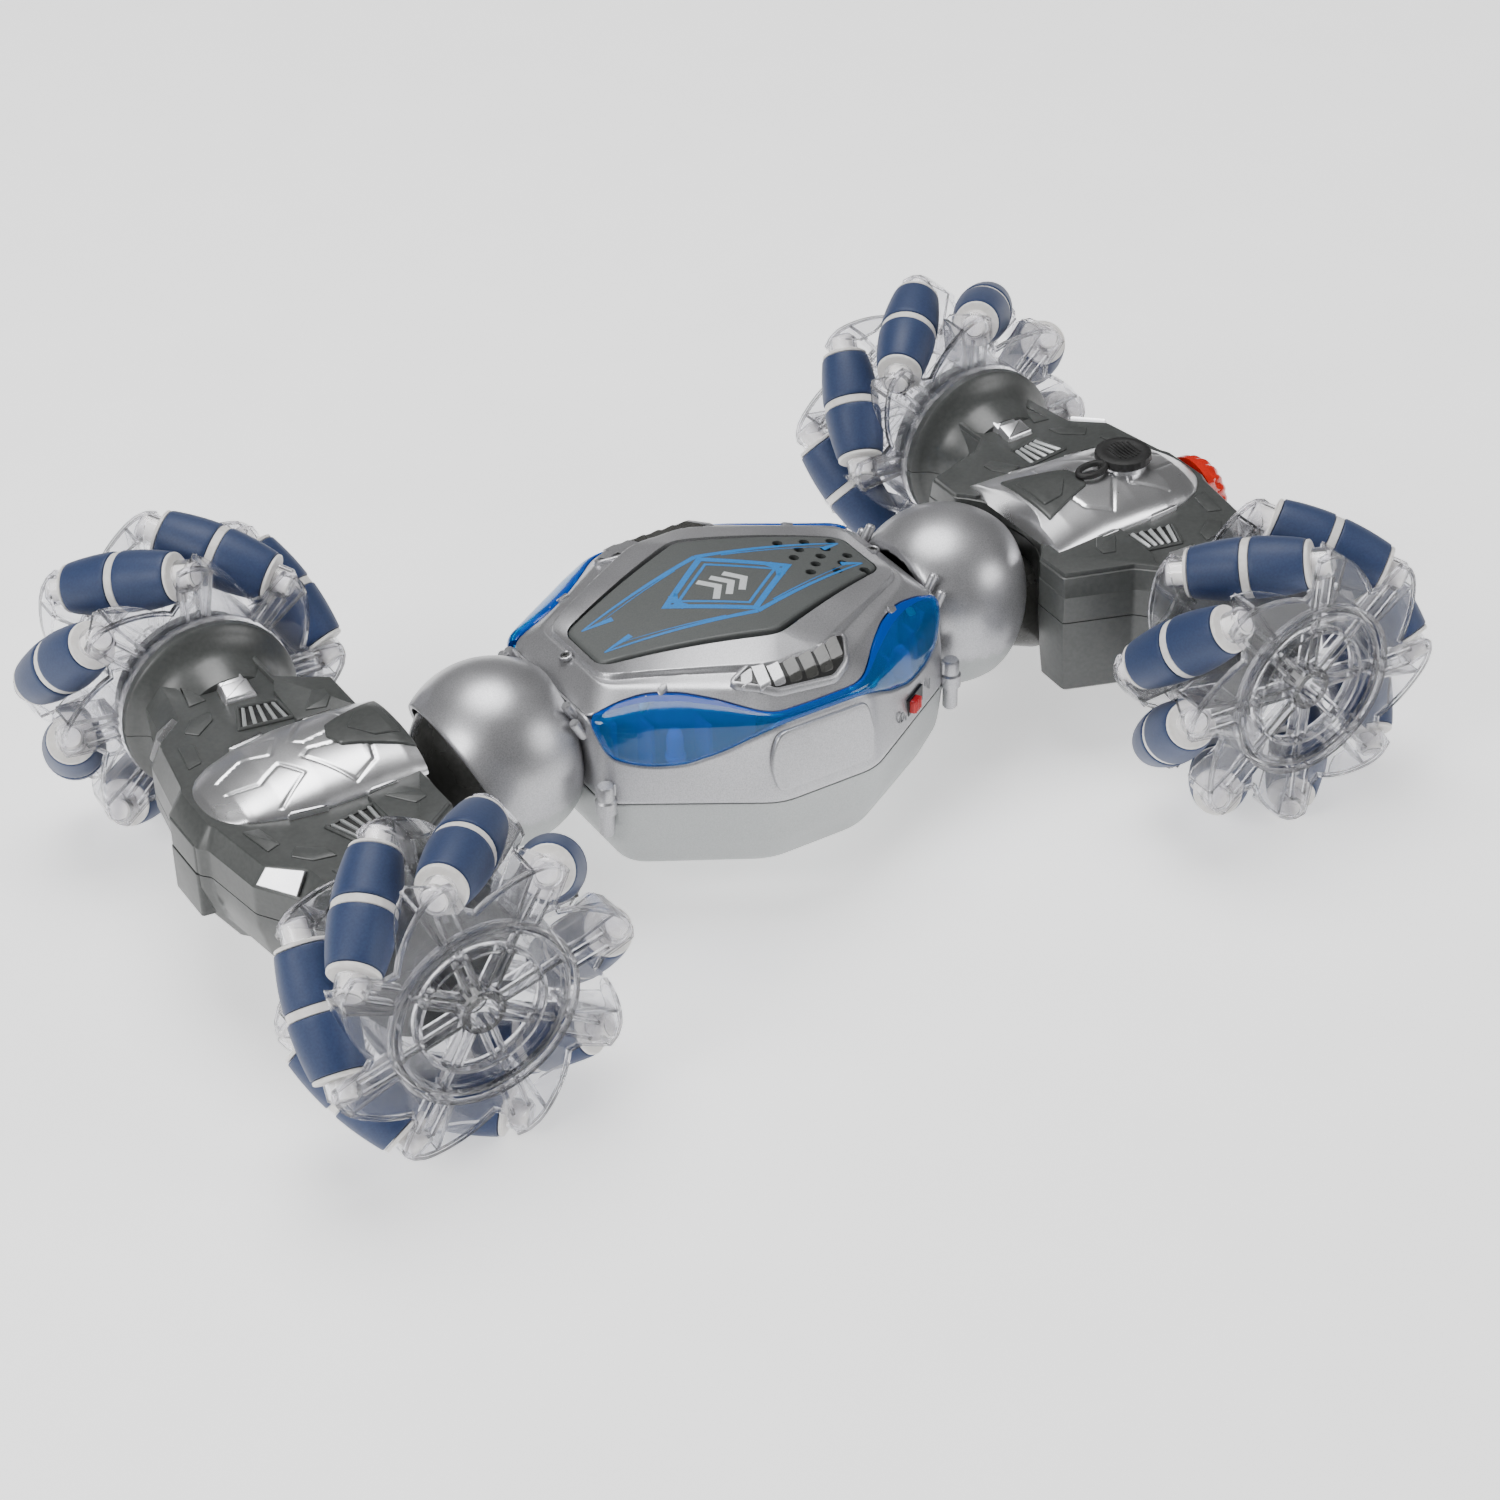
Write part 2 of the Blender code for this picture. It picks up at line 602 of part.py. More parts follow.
def arc(radius, start, stop, steps):
    """(radius, height) points on a circle between two heights."""
    a, b = (math.asin(max(-1.0, min(1.0, h / radius))) for h in (start, stop))
    angles = [a + (b - a) * i / steps for i in range(steps + 1)]
    return [(radius * math.cos(t), radius * math.sin(t)) for t in angles]


def make_neck_shell(end, sx, parts, cutters, finish):
    """Dome fixed to the pod's end and open towards the axle module."""
    inner = DOME_RADIUS - DOME_WALL
    back = -DOME_RADIUS * 0.97
    outer_arc = arc(DOME_RADIUS, OPENING_OFFSET, back, 5)
    inner_arc = arc(inner, back * inner / DOME_RADIUS, OPENING_OFFSET, 5)
    profile = outer_arc + inner_arc + [outer_arc[0]]
    shell = turned("neck_shell_" + end, profile, 16, parts, finish, twist_frame(sx))
    limit = sx * (POD_HALF_LENGTH + 1.0 + GAP)
    bm = bmesh.new()
    low, high = sorted((0.0, limit))
    add_box(bm, (low, -60, 0), (high, 60, 120))
    boolean(shell, mesh_object("pod_side_" + end, bm, cutters), "DIFFERENCE")
    return shell


def ball_and_shaft(end, sx, cutters):
    """Hollow ball with a solid neck tube outside and a shaft inside."""
    inner = BALL_RADIUS - BALL_WALL
    back = -6.0
    outer_arc = arc(BALL_RADIUS, BALL_RADIUS * 0.9, back, 4)
    inner_arc = arc(inner, back * inner / BALL_RADIUS, inner * 0.9, 3)
    shaft = TWIST_SHAFT_RADIUS
    profile = [(0.0, BALL_RADIUS * 0.9)] + outer_arc + inner_arc
    profile += [(shaft, inner * 0.9), (shaft, -TWIST_SHAFT_END), (0.0, -TWIST_SHAFT_END)]
    ball = turned("ball_" + end, profile, 12, cutters, None, twist_frame(sx))
    return ball


# ---- axle modules ---------------------------------------------------------
def module_outline(inner):
    """Half outline in plan, (distance from the middle, y), y rising."""
    return [(inner, 0.0), (inner, WING_HALF), (WHEEL_X - 14.0, WING_ROOT), (WHEEL_X - 14.0, RIM_Y),
            (WHEEL_X + 16.0, RIM_Y), (WHEEL_X + 18.0, WING_ROOT), (MODULE_OUTER - 6.0, 34.0),
            (MODULE_OUTER - 2.0, 10.0), (MODULE_OUTER - 2.0, 0.0)]


def module_ring(sx, inner, out, height):
    """The plan outline moved out or in, mirrored across y = 0."""
    half = []
    for x, y in module_outline(inner):
        shift = out if x > WHEEL_X else -out
        half.append((x + shift, y + (out * 0.6 if 20 < y < RIM_Y else 0.0)))
    left = [(x, -y) for x, y in reversed(half[1:-1])]
    return [(sx * x, sx * y, height) for x, y in half + left]


def module_solid(name, sx, inner, shrink, collection):
    """Body between the drums, from floor to bevelled top."""
    rows = [(-11.0, MODULE_FLOOR), (-2.0, MODULE_CHINE), (3.0, AXLE_HEIGHT), (3.0, MODULE_BEVEL),
            (-1.0, MODULE_TOP)]   # (outwards from the plan outline, height)
    rings = []
    for out, height in rows:
        height = height + shrink if height == MODULE_FLOOR else height
        height = height - shrink if height == MODULE_TOP else height
        rings.append(module_ring(sx, inner, out - shrink, height))
    bm = bmesh.new()
    loft(bm, rings)
    return mesh_object(name, bm, collection)


def drum_solid(name, sx, sy, shrink, collection):
    """Flared gearbox drum that runs into the wheel's barrel."""
    frame = frame_from_axis((sx * WHEEL_X, 0, AXLE_HEIGHT), (0, sy, 0), (0, 0, 1))
    neck, rim, drum = (r - shrink for r in (DRUM_NECK_RADIUS, DRUM_RIM_RADIUS, DRUM_RADIUS))
    start = RIM_Y - 22.0 - (2.0 if shrink else 0.0)
    profile = [(0.0, DRUM_END_Y - shrink), (drum, DRUM_END_Y - shrink),
               (drum, RIM_Y + 0.6 - shrink), (rim, RIM_Y + 0.6 - shrink), (rim, RIM_Y - 2.0),
               (neck, RIM_Y - 9.0), (neck - 3.0, start), (0.0, start)]
    return turned(name, profile, BARREL_SIDES, collection, None, frame)


def make_module(end, sx, inner, parts, cutters, finish):
    """Upper cover and lower tray of one axle module, with both drums."""
    for role in ("axle_cover", "axle_tray"):
        name = role + "_" + end
        upper = role == "axle_cover"
        body = module_solid(name, sx, inner, 0.0, parts)
        body.data.materials.append(finish)
        hollow = module_solid(name + "_hollow", sx, inner, MODULE_WALL, cutters)
        for side, sy in SIDE_NAMES:
            boolean(body, drum_solid(name + "_drum_" + side, sx, sy, 0.0, cutters), "UNION")
            boolean(hollow, drum_solid(name + "_bore_" + side, sx, sy, DRUM_WALL, cutters),
                    "UNION")
        boolean(body, hollow, "DIFFERENCE")
        bm = bmesh.new()
        bmesh.ops.create_uvsphere(bm, u_segments=20, v_segments=10,
                                  radius=SWING_RADIUS, matrix=twist_frame(sx))
        boolean(body, mesh_object(name + "_swing", bm, cutters), "DIFFERENCE")
        bm = bmesh.new()
        reach = STUB_AXLE_RADIUS + AXLE_CLEARANCE + 1.0
        frame = frame_from_axis((sx * WHEEL_X, 0, AXLE_HEIGHT), (0, 1, 0), (0, 0, 1))
        add_cylinder(bm, reach, -110, 110, 8, frame)
        boolean(body, mesh_object(name + "_axle_way", bm, cutters), "DIFFERENCE")
        low, high = (-5.0, AXLE_HEIGHT + GAP / 2) if upper else (AXLE_HEIGHT - GAP / 2, 120.0)
        bm = bmesh.new()
        add_box(bm, (-250, -150, low), (250, 150, high))
        boolean(body, mesh_object(name + "_half", bm, cutters), "DIFFERENCE")
        bm = bmesh.new()
        margin = GAP if upper else 0.0
        add_cylinder(bm, NECK_TUBE_RADIUS + margin, BALL_RADIUS * 0.8, neck_reach(inner) + margin,
                     12, twist_frame(sx))
        neck = mesh_object(name + "_neck", bm, cutters)
        if upper:
            saddle = notch_block(name + "_saddle", sx, hood_start(inner), 0.0,
                                 MODULE_TOP - 1.5, SADDLE_TOP, cutters)
            boolean(body, saddle, "UNION")
            boolean(body, neck, "DIFFERENCE")
        else:
            boolean(neck, ball_and_shaft(end, sx, cutters), "UNION")
            boolean(body, neck, "UNION")


def neck_reach(inner):
    """End of the neck tube inside the module, from the ball's centre along the twist axis."""
    return max(inner - NECK_X, SWING_RADIUS) + NECK_TUBE_OVERLAP


def hood_start(inner):
    """Distance of the hood's neck end from the car's middle."""
    return max(inner - 1.0, NECK_X + SWING_RADIUS)


def hood_section(sx, x, half, crest, base):
    """Seven points over the hood at one station."""
    points = []
    for i in range(7):
        part = i / 6 * 2 - 1
        rise = (crest - base) * (1 - part ** 2) ** 0.7
        points.append((sx * x, sx * half * part, base + rise))
    return points


def notch_outline(start, margin):
    """Trapezoid at the neck end of the hood, in plan."""
    wide, narrow, length = HOOD_NOTCH
    return [(start - 4.0, -wide - margin), (start, -wide - margin),
            (start + length + margin, -narrow - margin),
            (start + length + margin, narrow + margin), (start, wide + margin),
            (start - 4.0, wide + margin)]


def notch_block(name, sx, start, margin, low, high, collection):
    bm = bmesh.new()
    outline = notch_outline(start, margin)
    loft(bm, [[(sx * x, sx * y, z) for x, y in outline] for z in (low, high)])
    return mesh_object(name, bm, collection)


def make_hood(end, sx, inner, parts, cutters, finish):
    """Plated hood over the middle of the module's cover."""
    base = MODULE_TOP + GAP
    start = hood_start(inner)
    span = MODULE_OUTER - 1.0 - start
    stations = ((0.0, 0.97, 0.9), (0.35, 1.0, 1.0), (0.62, 0.95, 0.88), (0.82, 0.72, 0.62),
                (0.94, 0.42, 0.32), (1.0, 0.2, 0.12))
    bm = bmesh.new()
    rings = []
    for part, width, height in stations:
        half = HOOD_HALF_WIDTH[end] * width
        crest = base + HOOD_WALL + (HOOD_CREST - base - HOOD_WALL) * height
        x = start + span * part
        outer = hood_section(sx, x, half, crest, base)
        under = hood_section(sx, x, half - HOOD_WALL * 1.2,
                             max(base + 0.4, crest - HOOD_WALL), base)
        rings.append(outer + list(reversed(under)))
    loft(bm, rings)
    hood = mesh_object("hood_" + end, bm, parts, finish)
    if end == "rear":
        add_filler_neck(hood, cutters)
    notch = notch_block("notch_" + end, sx, start, GAP, MODULE_TOP - 2, 90.0, cutters)
    boolean(hood, notch, "DIFFERENCE")
    return hood


def add_filler_neck(hood, cutters):
    """Blind filler neck that the cap closes."""
    bm = bmesh.new()
    spot = Matrix.Translation((CAP_X, 0, 0))
    add_cylinder(bm, FILLER_RADIUS, MODULE_TOP + GAP, FILLER_TOP, 12, spot)
    boolean(hood, mesh_object("filler_neck", bm, cutters), "UNION")
    bm = bmesh.new()
    add_cylinder(bm, FILLER_BORE, FILLER_TOP - FILLER_DEPTH, FILLER_TOP + 5, 8, spot)
    boolean(hood, mesh_object("filler_bore", bm, cutters), "DIFFERENCE")


def make_filler_cap(parts, cutters, finish):
    """Soft lid with a plug below and a looped pull tab."""
    top = FILLER_TOP + GAP + CAP_HEIGHT
    plug = FILLER_BORE - 0.6
    profile = [(0.0, top), (CAP_RADIUS, top), (CAP_RADIUS, FILLER_TOP + GAP),
               (plug, FILLER_TOP + GAP), (plug, FILLER_TOP - PLUG_LENGTH),
               (0.0, FILLER_TOP - PLUG_LENGTH)]
    cap = turned("filler_cap", profile, 12, parts, finish, Matrix.Translation((CAP_X, 0, 0)))
    bm = bmesh.new()
    low = FILLER_TOP + GAP + 0.4
    add_box(bm, (CAP_X - CAP_RADIUS - 6.0, -1.6, low), (CAP_X - CAP_RADIUS + 2.0, 1.6, low + 2.2))
    boolean(cap, mesh_object("cap_tab", bm, cutters), "UNION")
    return cap


def make_nozzle(parts, finish):
    """Ribbed dome that lets the mist out of the rear module's end."""
    r = NOZZLE_RADIUS
    profile = [(0.0, NOZZLE_REACH), (r * 0.55, NOZZLE_REACH * 0.85), (r * 0.88, NOZZLE_REACH * 0.45),
               (r, 0.0), (r - 1.6, 0.0), (r * 0.5, NOZZLE_REACH * 0.85 - 1.8),
               (0.0, NOZZLE_REACH - 1.8)]
    face = MODULE_OUTER + 1.3 + GAP
    frame = frame_from_axis((face, 0, NOZZLE_HEIGHT), (1, 0, 0), (0, 0, 1))
    return turned("mist_nozzle", profile, 12, parts, finish, frame)


def make_gearbox(end, sx, inner, parts, cutters, finish):
    """Two wheel motors and their gear case, which starts clear of the neck tube."""
    frame = frame_from_axis((sx * WHEEL_X, 0, AXLE_HEIGHT), (0, 1, 0), (0, 0, 1))
    reach = DRUM_END_Y - DRUM_WALL - 2.0
    tube_end = NECK_X + neck_reach(inner) * math.cos(TILT) + NECK_TUBE_RADIUS * math.sin(TILT)
    start = max(WHEEL_X - DRIVE_RADIUS, tube_end + 2 * GAP)
    low, high = sorted((sx * start, sx * (WHEEL_X + DRIVE_RADIUS)))
    bm = bmesh.new()
    add_box(bm, (low, -CASE_HALF_WIDTH, CASE_LOW), (high, CASE_HALF_WIDTH, CASE_HIGH))
    unit = mesh_object("drive_gearbox_" + end, bm, parts, finish)
    bm = bmesh.new()
    for sy in (-1, 1):
        low, high = sorted((sy * (CASE_HALF_WIDTH - 4.0), sy * reach))
        add_cylinder(bm, DRIVE_RADIUS, low, high, 10, frame)
    boolean(unit, mesh_object("wheel_motors_" + end, bm, cutters), "UNION")
    bm = bmesh.new()
    bore = STUB_AXLE_RADIUS + AXLE_CLEARANCE
    bore_end = WHEEL_Y + FACE_IN - AXLE_REACH - 1.5
    for sy in (-1, 1):
        low, high = sorted((sy * bore_end, sy * (reach + 5)))
        add_cylinder(bm, bore, low, high, 8, frame)
    boolean(unit, mesh_object("axle_bores_" + end, bm, cutters), "DIFFERENCE")
    return unit


def make_twist_motor(end, sx, parts, cutters, finish):
    """Geared motor inside the pod whose socket turns the ball's shaft."""
    bm = bmesh.new()
    frame = twist_frame(sx)
    add_cylinder(bm, MOTOR_RADIUS, -MOTOR_BACK, -MOTOR_FRONT, 10, frame)
    motor = mesh_object("twist_motor_" + end, bm, parts, finish)
    bm = bmesh.new()
    add_cylinder(bm, TWIST_SHAFT_RADIUS + AXLE_CLEARANCE, -TWIST_SHAFT_END - 1.0, -10.0, 8,
                 frame)
    boolean(motor, mesh_object("twist_socket_" + end, bm, cutters), "DIFFERENCE")
    return motor


def make_speaker(parts, finish):
    top = crown(SPEAKER_X + SPEAKER_RADIUS) - DECK_THICKNESS - GAP - SHELL_WALL * 1.6 - 1.2
    profile = [(0.0, top - 1.5), (SPEAKER_RADIUS - 3, top - 0.5), (SPEAKER_RADIUS - 2, top),
               (SPEAKER_RADIUS, top), (SPEAKER_RADIUS, top - 2.0),
               (SPEAKER_RADIUS * 0.5, top - SPEAKER_DEPTH), (0.0, top - SPEAKER_DEPTH)]
    return turned("speaker", profile, 10, parts, finish,
                  Matrix.Translation((SPEAKER_X, 0, 0)))


# ---- assembly -------------------------------------------------------------
def build():
    clear_scene()
    parts = new_collection("rc_stunt_car")
    cutters = new_collection("cutters")
    silver = material("silver ABS", (0.43, 0.43, 0.44), 0.38, 0.5)
    plated = material("plated ABS", (0.58, 0.58, 0.6), 0.22, 0.9)
    grey = material("grey ABS", (0.14, 0.146, 0.14), 0.42)
    rubber = material("navy rubber", (0.03, 0.058, 0.138), 0.62)
    clear = material("clear polycarbonate", (0.75, 0.75, 0.8), 0.08)
    blue = material("blue polycarbonate", (0.003, 0.13, 0.45), 0.1)
    red = material("red plastic", (0.6, 0.05, 0.03), 0.3)
    black = material("black rubber", (0.012, 0.012, 0.012), 0.7)
    board = material("circuit board", (0.02, 0.15, 0.05), 0.5)
    steel = material("steel", (0.5, 0.5, 0.5), 0.35, 1.0)

    make_pod_cover(parts, cutters, silver)
    make_pod_tray(parts, cutters, silver)
    make_deck(parts, cutters, grey)
    for side, sy in SIDE_NAMES:
        make_lens(side, sy, parts, cutters, blue)
    make_battery(parts, silver, black)
    make_board(parts, cutters, board)
    make_speaker(parts, black)
    make_switch(parts, red)
    make_filler_cap(parts, cutters, black)
    make_nozzle(parts, red)

    for end, sx in END_NAMES:
        inner = WHEEL_X - WING_REACH[end]
        make_neck_shell(end, sx, parts, cutters, silver)
        make_module(end, sx, inner, parts, cutters, grey)
        make_hood(end, sx, inner, parts, cutters, plated)
        make_gearbox(end, sx, inner, parts, cutters, steel)
        make_twist_motor(end, sx, parts, cutters, steel)
        for side, sy in SIDE_NAMES:
            corner = end + "_" + side
            phase = ROLLER_PHASE[corner]
            make_cage("wheel_cage_" + corner, sx, sy, phase, parts, cutters, clear)
            for k in range(ROLLER_COUNT):
                frame = roller_frame(sx, sy, phase + 360 / ROLLER_COUNT * k)
                turned("roller_%s_%d" % (corner, k + 1), roller_profile(), ROLLER_SIDES,
                       parts, rubber, frame)


build()
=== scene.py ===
"""Remote control stunt car that twists: the looks of its pod, axle modules and roller wheels.

Every shape is a surface worked out in millimetres as arrays, either a function of two
parameters on a grid or a profile carried along a path. +X points to the rear axle,
+Y to the right side and +Z up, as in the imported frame.
"""

import math

import bmesh
import bpy
import numpy as np
from mathutils import Matrix, Vector


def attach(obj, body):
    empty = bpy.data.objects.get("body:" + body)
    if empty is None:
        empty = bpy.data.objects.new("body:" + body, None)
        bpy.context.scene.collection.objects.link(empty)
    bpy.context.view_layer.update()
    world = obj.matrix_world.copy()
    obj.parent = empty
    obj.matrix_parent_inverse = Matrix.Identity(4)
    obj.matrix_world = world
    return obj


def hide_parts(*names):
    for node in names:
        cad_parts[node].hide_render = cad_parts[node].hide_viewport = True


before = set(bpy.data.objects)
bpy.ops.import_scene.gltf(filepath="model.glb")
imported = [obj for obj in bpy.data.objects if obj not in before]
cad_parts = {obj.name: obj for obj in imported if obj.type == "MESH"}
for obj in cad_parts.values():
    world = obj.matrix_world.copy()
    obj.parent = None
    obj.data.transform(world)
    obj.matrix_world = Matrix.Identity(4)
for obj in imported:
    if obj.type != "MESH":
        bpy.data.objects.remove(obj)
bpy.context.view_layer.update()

MM = 0.001
TURN = 2 * math.pi

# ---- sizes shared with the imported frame, in mm ------------------------------
WHEEL_X, WHEEL_Y, AXLE_Z = 136.7, 86.6, 48.3
ROLLERS = 8
ROLLER_AXIS = 38.45            # wheel axis to the middle of a roller
ROLLER_ENVELOPE = 47.75        # round outline the rollers make together
SOCKET_TURN = math.atan2(14.8, ROLLER_AXIS)    # round the wheel from a roller's middle to a socket
ROLLER_PHASE = {"front_left": 8.2, "front_right": -21.1, "rear_right": -20.8, "rear_left": 26.7}
NECK_X, NECK_Z, NECK_TILT = 78.0, 47.0, math.radians(22.5)
DOME_RADIUS, DOME_OPENING = 28.0, 11.0
BALL_RADIUS = 24.9
PARTING = 39.0                 # seam between the pod's cover and its tray
DECK_TOP, DECK_ARCH = 77.0, 5.0        # height of the deck's middle and how far its ends drop
DECK_SEAT = 1.9                # the cover's edge below the deck's face
DECK_THICK = 2.4
COVER_WALL, WINDOW_WALL = 1.8, 2.0
INK_THICK = 0.055
GROOVE = 0.42                  # depth and width of a hood's sunk outlines
DECK_LENGTH, DECK_WIDTH, DECK_END = 47.5, 28.5, 10.0   # half sizes of the hexagon
ENDS = (("front", -1), ("rear", 1))
SIDES = (("left", -1), ("right", 1))


# ---- surfaces ---------------------------------------------------------------
def grid(points, wrap=False, loop=False, finish=0, caps=False):
    """A skin from an array of rows by columns of points.

    wrap joins the last column to the first, loop the last row to the first, and caps
    closes the first and the last row with one flat face each.
    """
    points = np.asarray(points, float)
    rows, cols = points.shape[:2]
    r = np.arange(rows if loop else rows - 1)[:, None]
    c = np.arange(cols if wrap else cols - 1)[None, :]
    below, right = (r + 1) % rows, (c + 1) % cols
    quads = np.stack([r * cols + c, r * cols + right, below * cols + right,
                      below * cols + c], -1).reshape(-1, 4)
    faces = quads.tolist()
    if caps:
        faces += [list(range(cols))[::-1], list(range((rows - 1) * cols, rows * cols))]
    return points.reshape(-1, 3), faces, finish


def joined(*skins):
    """Several skins as one, keeping each one's finish."""
    points, faces, finishes, base = [], [], [], 0
    for part_points, part_faces, finish in skins:
        points.append(part_points)
        faces += [[i + base for i in face] for face in part_faces]
        several = isinstance(finish, (list, tuple))
        finishes += list(finish) if several else [finish] * len(part_faces)
        base += len(part_points)
    return np.concatenate(points), faces, finishes


def moved(skin, matrix):
    """A skin carried through a 4x4 matrix."""
    points, faces, finish = skin
    return points @ matrix[:3, :3].T + matrix[:3, 3], faces, finish


def axes(origin, z_axis, x_hint):
    """The 4x4 matrix of a frame at origin whose Z runs along z_axis and whose X leans to x_hint."""
    z = np.array(z_axis, float)
    z /= np.linalg.norm(z)
    y = np.cross(z, np.array(x_hint, float))
    y /= np.linalg.norm(y)
    made = np.eye(4)
    made[:3, :3] = np.stack([np.cross(y, z), y, z], 1)
    made[:3, 3] = origin
    return made


def upright(x, y, z=0.0):
    """The 4x4 matrix of a frame moved to a place and not turned."""
    return axes((x, y, z), (0, 0, 1), (1, 0, 0))


def spin(angle):
    """A turn about Z by an angle in radians, as a 4x4 matrix."""
    made = np.eye(4)
    made[:2, :2] = [[math.cos(angle), -math.sin(angle)], [math.sin(angle), math.cos(angle)]]
    return made


def rounded(outline, radius, steps=4):
    """A closed outline whose corners are quadratic curves starting radius before each corner."""
    here = np.asarray(outline, float)
    before, after = np.roll(here, 1, 0) - here, np.roll(here, -1, 0) - here
    reach = [np.minimum(radius, np.linalg.norm(v, axis=1) * 0.45)[:, None] for v in (before, after)]
    start = here + before / np.linalg.norm(before, axis=1)[:, None] * reach[0]
    end = here + after / np.linalg.norm(after, axis=1)[:, None] * reach[1]
    t = np.linspace(0, 1, steps + 1)[None, :, None]
    curve = start[:, None] * (1 - t) ** 2 + here[:, None] * 2 * t * (1 - t) + end[:, None] * t ** 2
    return curve.reshape(-1, here.shape[1])


def finer(outline, parts=8):
    """A closed outline with each side cut into equal parts."""
    after = np.roll(outline, -1, 0)
    t = (np.arange(parts) / parts)[None, :, None]
    return (outline[:, None] * (1 - t) + after[:, None] * t).reshape(-1, 2)


def anticlockwise(outline):
    """The outline with its points in anticlockwise order."""
    p = np.asarray(outline, float)
    q = np.roll(p, -1, 0)
    return p if (p[:, 0] * q[:, 1] - q[:, 0] * p[:, 1]).sum() > 0 else p[::-1]


def inset(outline, distance):
    """A closed plane outline moved inwards by a distance, by the mitre of its edges' normals."""
    p = np.asarray(outline, float)
    edge = np.roll(p, -1, 0) - p
    normal = np.stack([edge[:, 1], -edge[:, 0]], 1) / np.linalg.norm(edge, axis=1)[:, None]
    last = np.roll(normal, 1, 0)
    mitre = (normal + last) / np.maximum(0.35, 1 + (normal * last).sum(1))[:, None]
    return p - mitre * distance


def slab(outline, low, high, bevel=0.35, corner=0.6, height=None, finish=0, draft=0.0):
    """A plate: a rounded outline carried up a wall and over a quarter round edge.

    height, a function of x and y, is added to every level, so that a plate can lie on a slope.
    """
    base = rounded(anticlockwise(outline), corner)
    lift = height or (lambda x, y: 0 * x)
    turn = np.linspace(0, math.pi / 2, 4)
    levels = [(-draft, low)] + [(bevel * (1 - math.cos(a)), high - bevel * (1 - math.sin(a)))
                                for a in turn]
    rings = []
    for inwards, z in levels:
        ring = inset(base, inwards)
        rings.append(np.column_stack([ring, z + lift(ring[:, 0], ring[:, 1])]))
    return grid(rings, wrap=True, caps=True, finish=finish)


def turned(profile, steps=48, finish=0, ripple=None):
    """A (radius, height) profile turned about Z; ripple scales the radius by angle and height."""
    profile = np.asarray(profile, float)
    angle = np.arange(steps) / steps * TURN
    radius = profile[:, :1] * np.ones_like(angle)
    if ripple is not None:
        radius = radius * ripple(angle[None, :], profile[:, 1:])
    return grid(np.stack([radius * np.cos(angle), radius * np.sin(angle),
                          profile[:, 1:] * np.ones_like(angle)], -1), wrap=True, finish=finish)


def block(low, high, bevel=0.3, finish=0):
    """A box with rounded top edges, from its low to its high corner."""
    (a, b, c), (d, e, f) = low, high
    return slab([(a, b), (d, b), (d, e), (a, e)], c, f, bevel, bevel, finish=finish)


def piece(name, skin, finishes, body, replaces=(), sharp=35):
    """One object in metres from a skin in mm, with seams merged and faces turned outwards."""
    points, faces, finish = joined(skin)
    mesh = bpy.data.meshes.new(name)
    mesh.from_pydata((points * MM).tolist(), [], faces)
    mesh.polygons.foreach_set("material_index", np.array(finish, np.int32))
    bm = bmesh.new()
    bm.from_mesh(mesh)
    bmesh.ops.remove_doubles(bm, verts=bm.verts, dist=2e-6)
    bmesh.ops.dissolve_degenerate(bm, dist=1e-6, edges=bm.edges)
    bmesh.ops.recalc_face_normals(bm, faces=bm.faces)
    bm.to_mesh(mesh)
    bm.free()
    mesh.shade_smooth()
    mesh.set_sharp_from_angle(angle=math.radians(sharp))
    for finish in finishes:
        mesh.materials.append(finish)
    made = bpy.data.objects.new(name, mesh)
    bpy.context.scene.collection.objects.link(made)
    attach(made, body)
    if replaces:
        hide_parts(*replaces)
    return made


# ---- materials --------------------------------------------------------------
def rgb(code):
    """An sRGB hex colour as linear RGBA."""
    value = np.array([int(code[i:i + 2], 16) for i in (1, 3, 5)]) / 255
    linear = np.where(value <= 0.04045, value / 12.92, ((value + 0.055) / 1.055) ** 2.4)
    return (*linear.tolist(), 1.0)


def add(tree, kind, wires=None, values=None, **settings):
    """Adds a node: settings are its properties, values its sockets' numbers, wires their source."""
    made = tree.nodes.new(kind)
    for key, value in settings.items():
        setattr(made, key, value)
    for key, value in (values or {}).items():
        made.inputs[key].default_value = value
    for key, source in (wires or {}).items():
        tree.links.new(source, made.inputs[key])
    return made


COLOUR_BLEND = 0.18            # half the width of the blend between a grain's two colours
WEAR_MM = 14                   # size of the patches in which roughness wanders


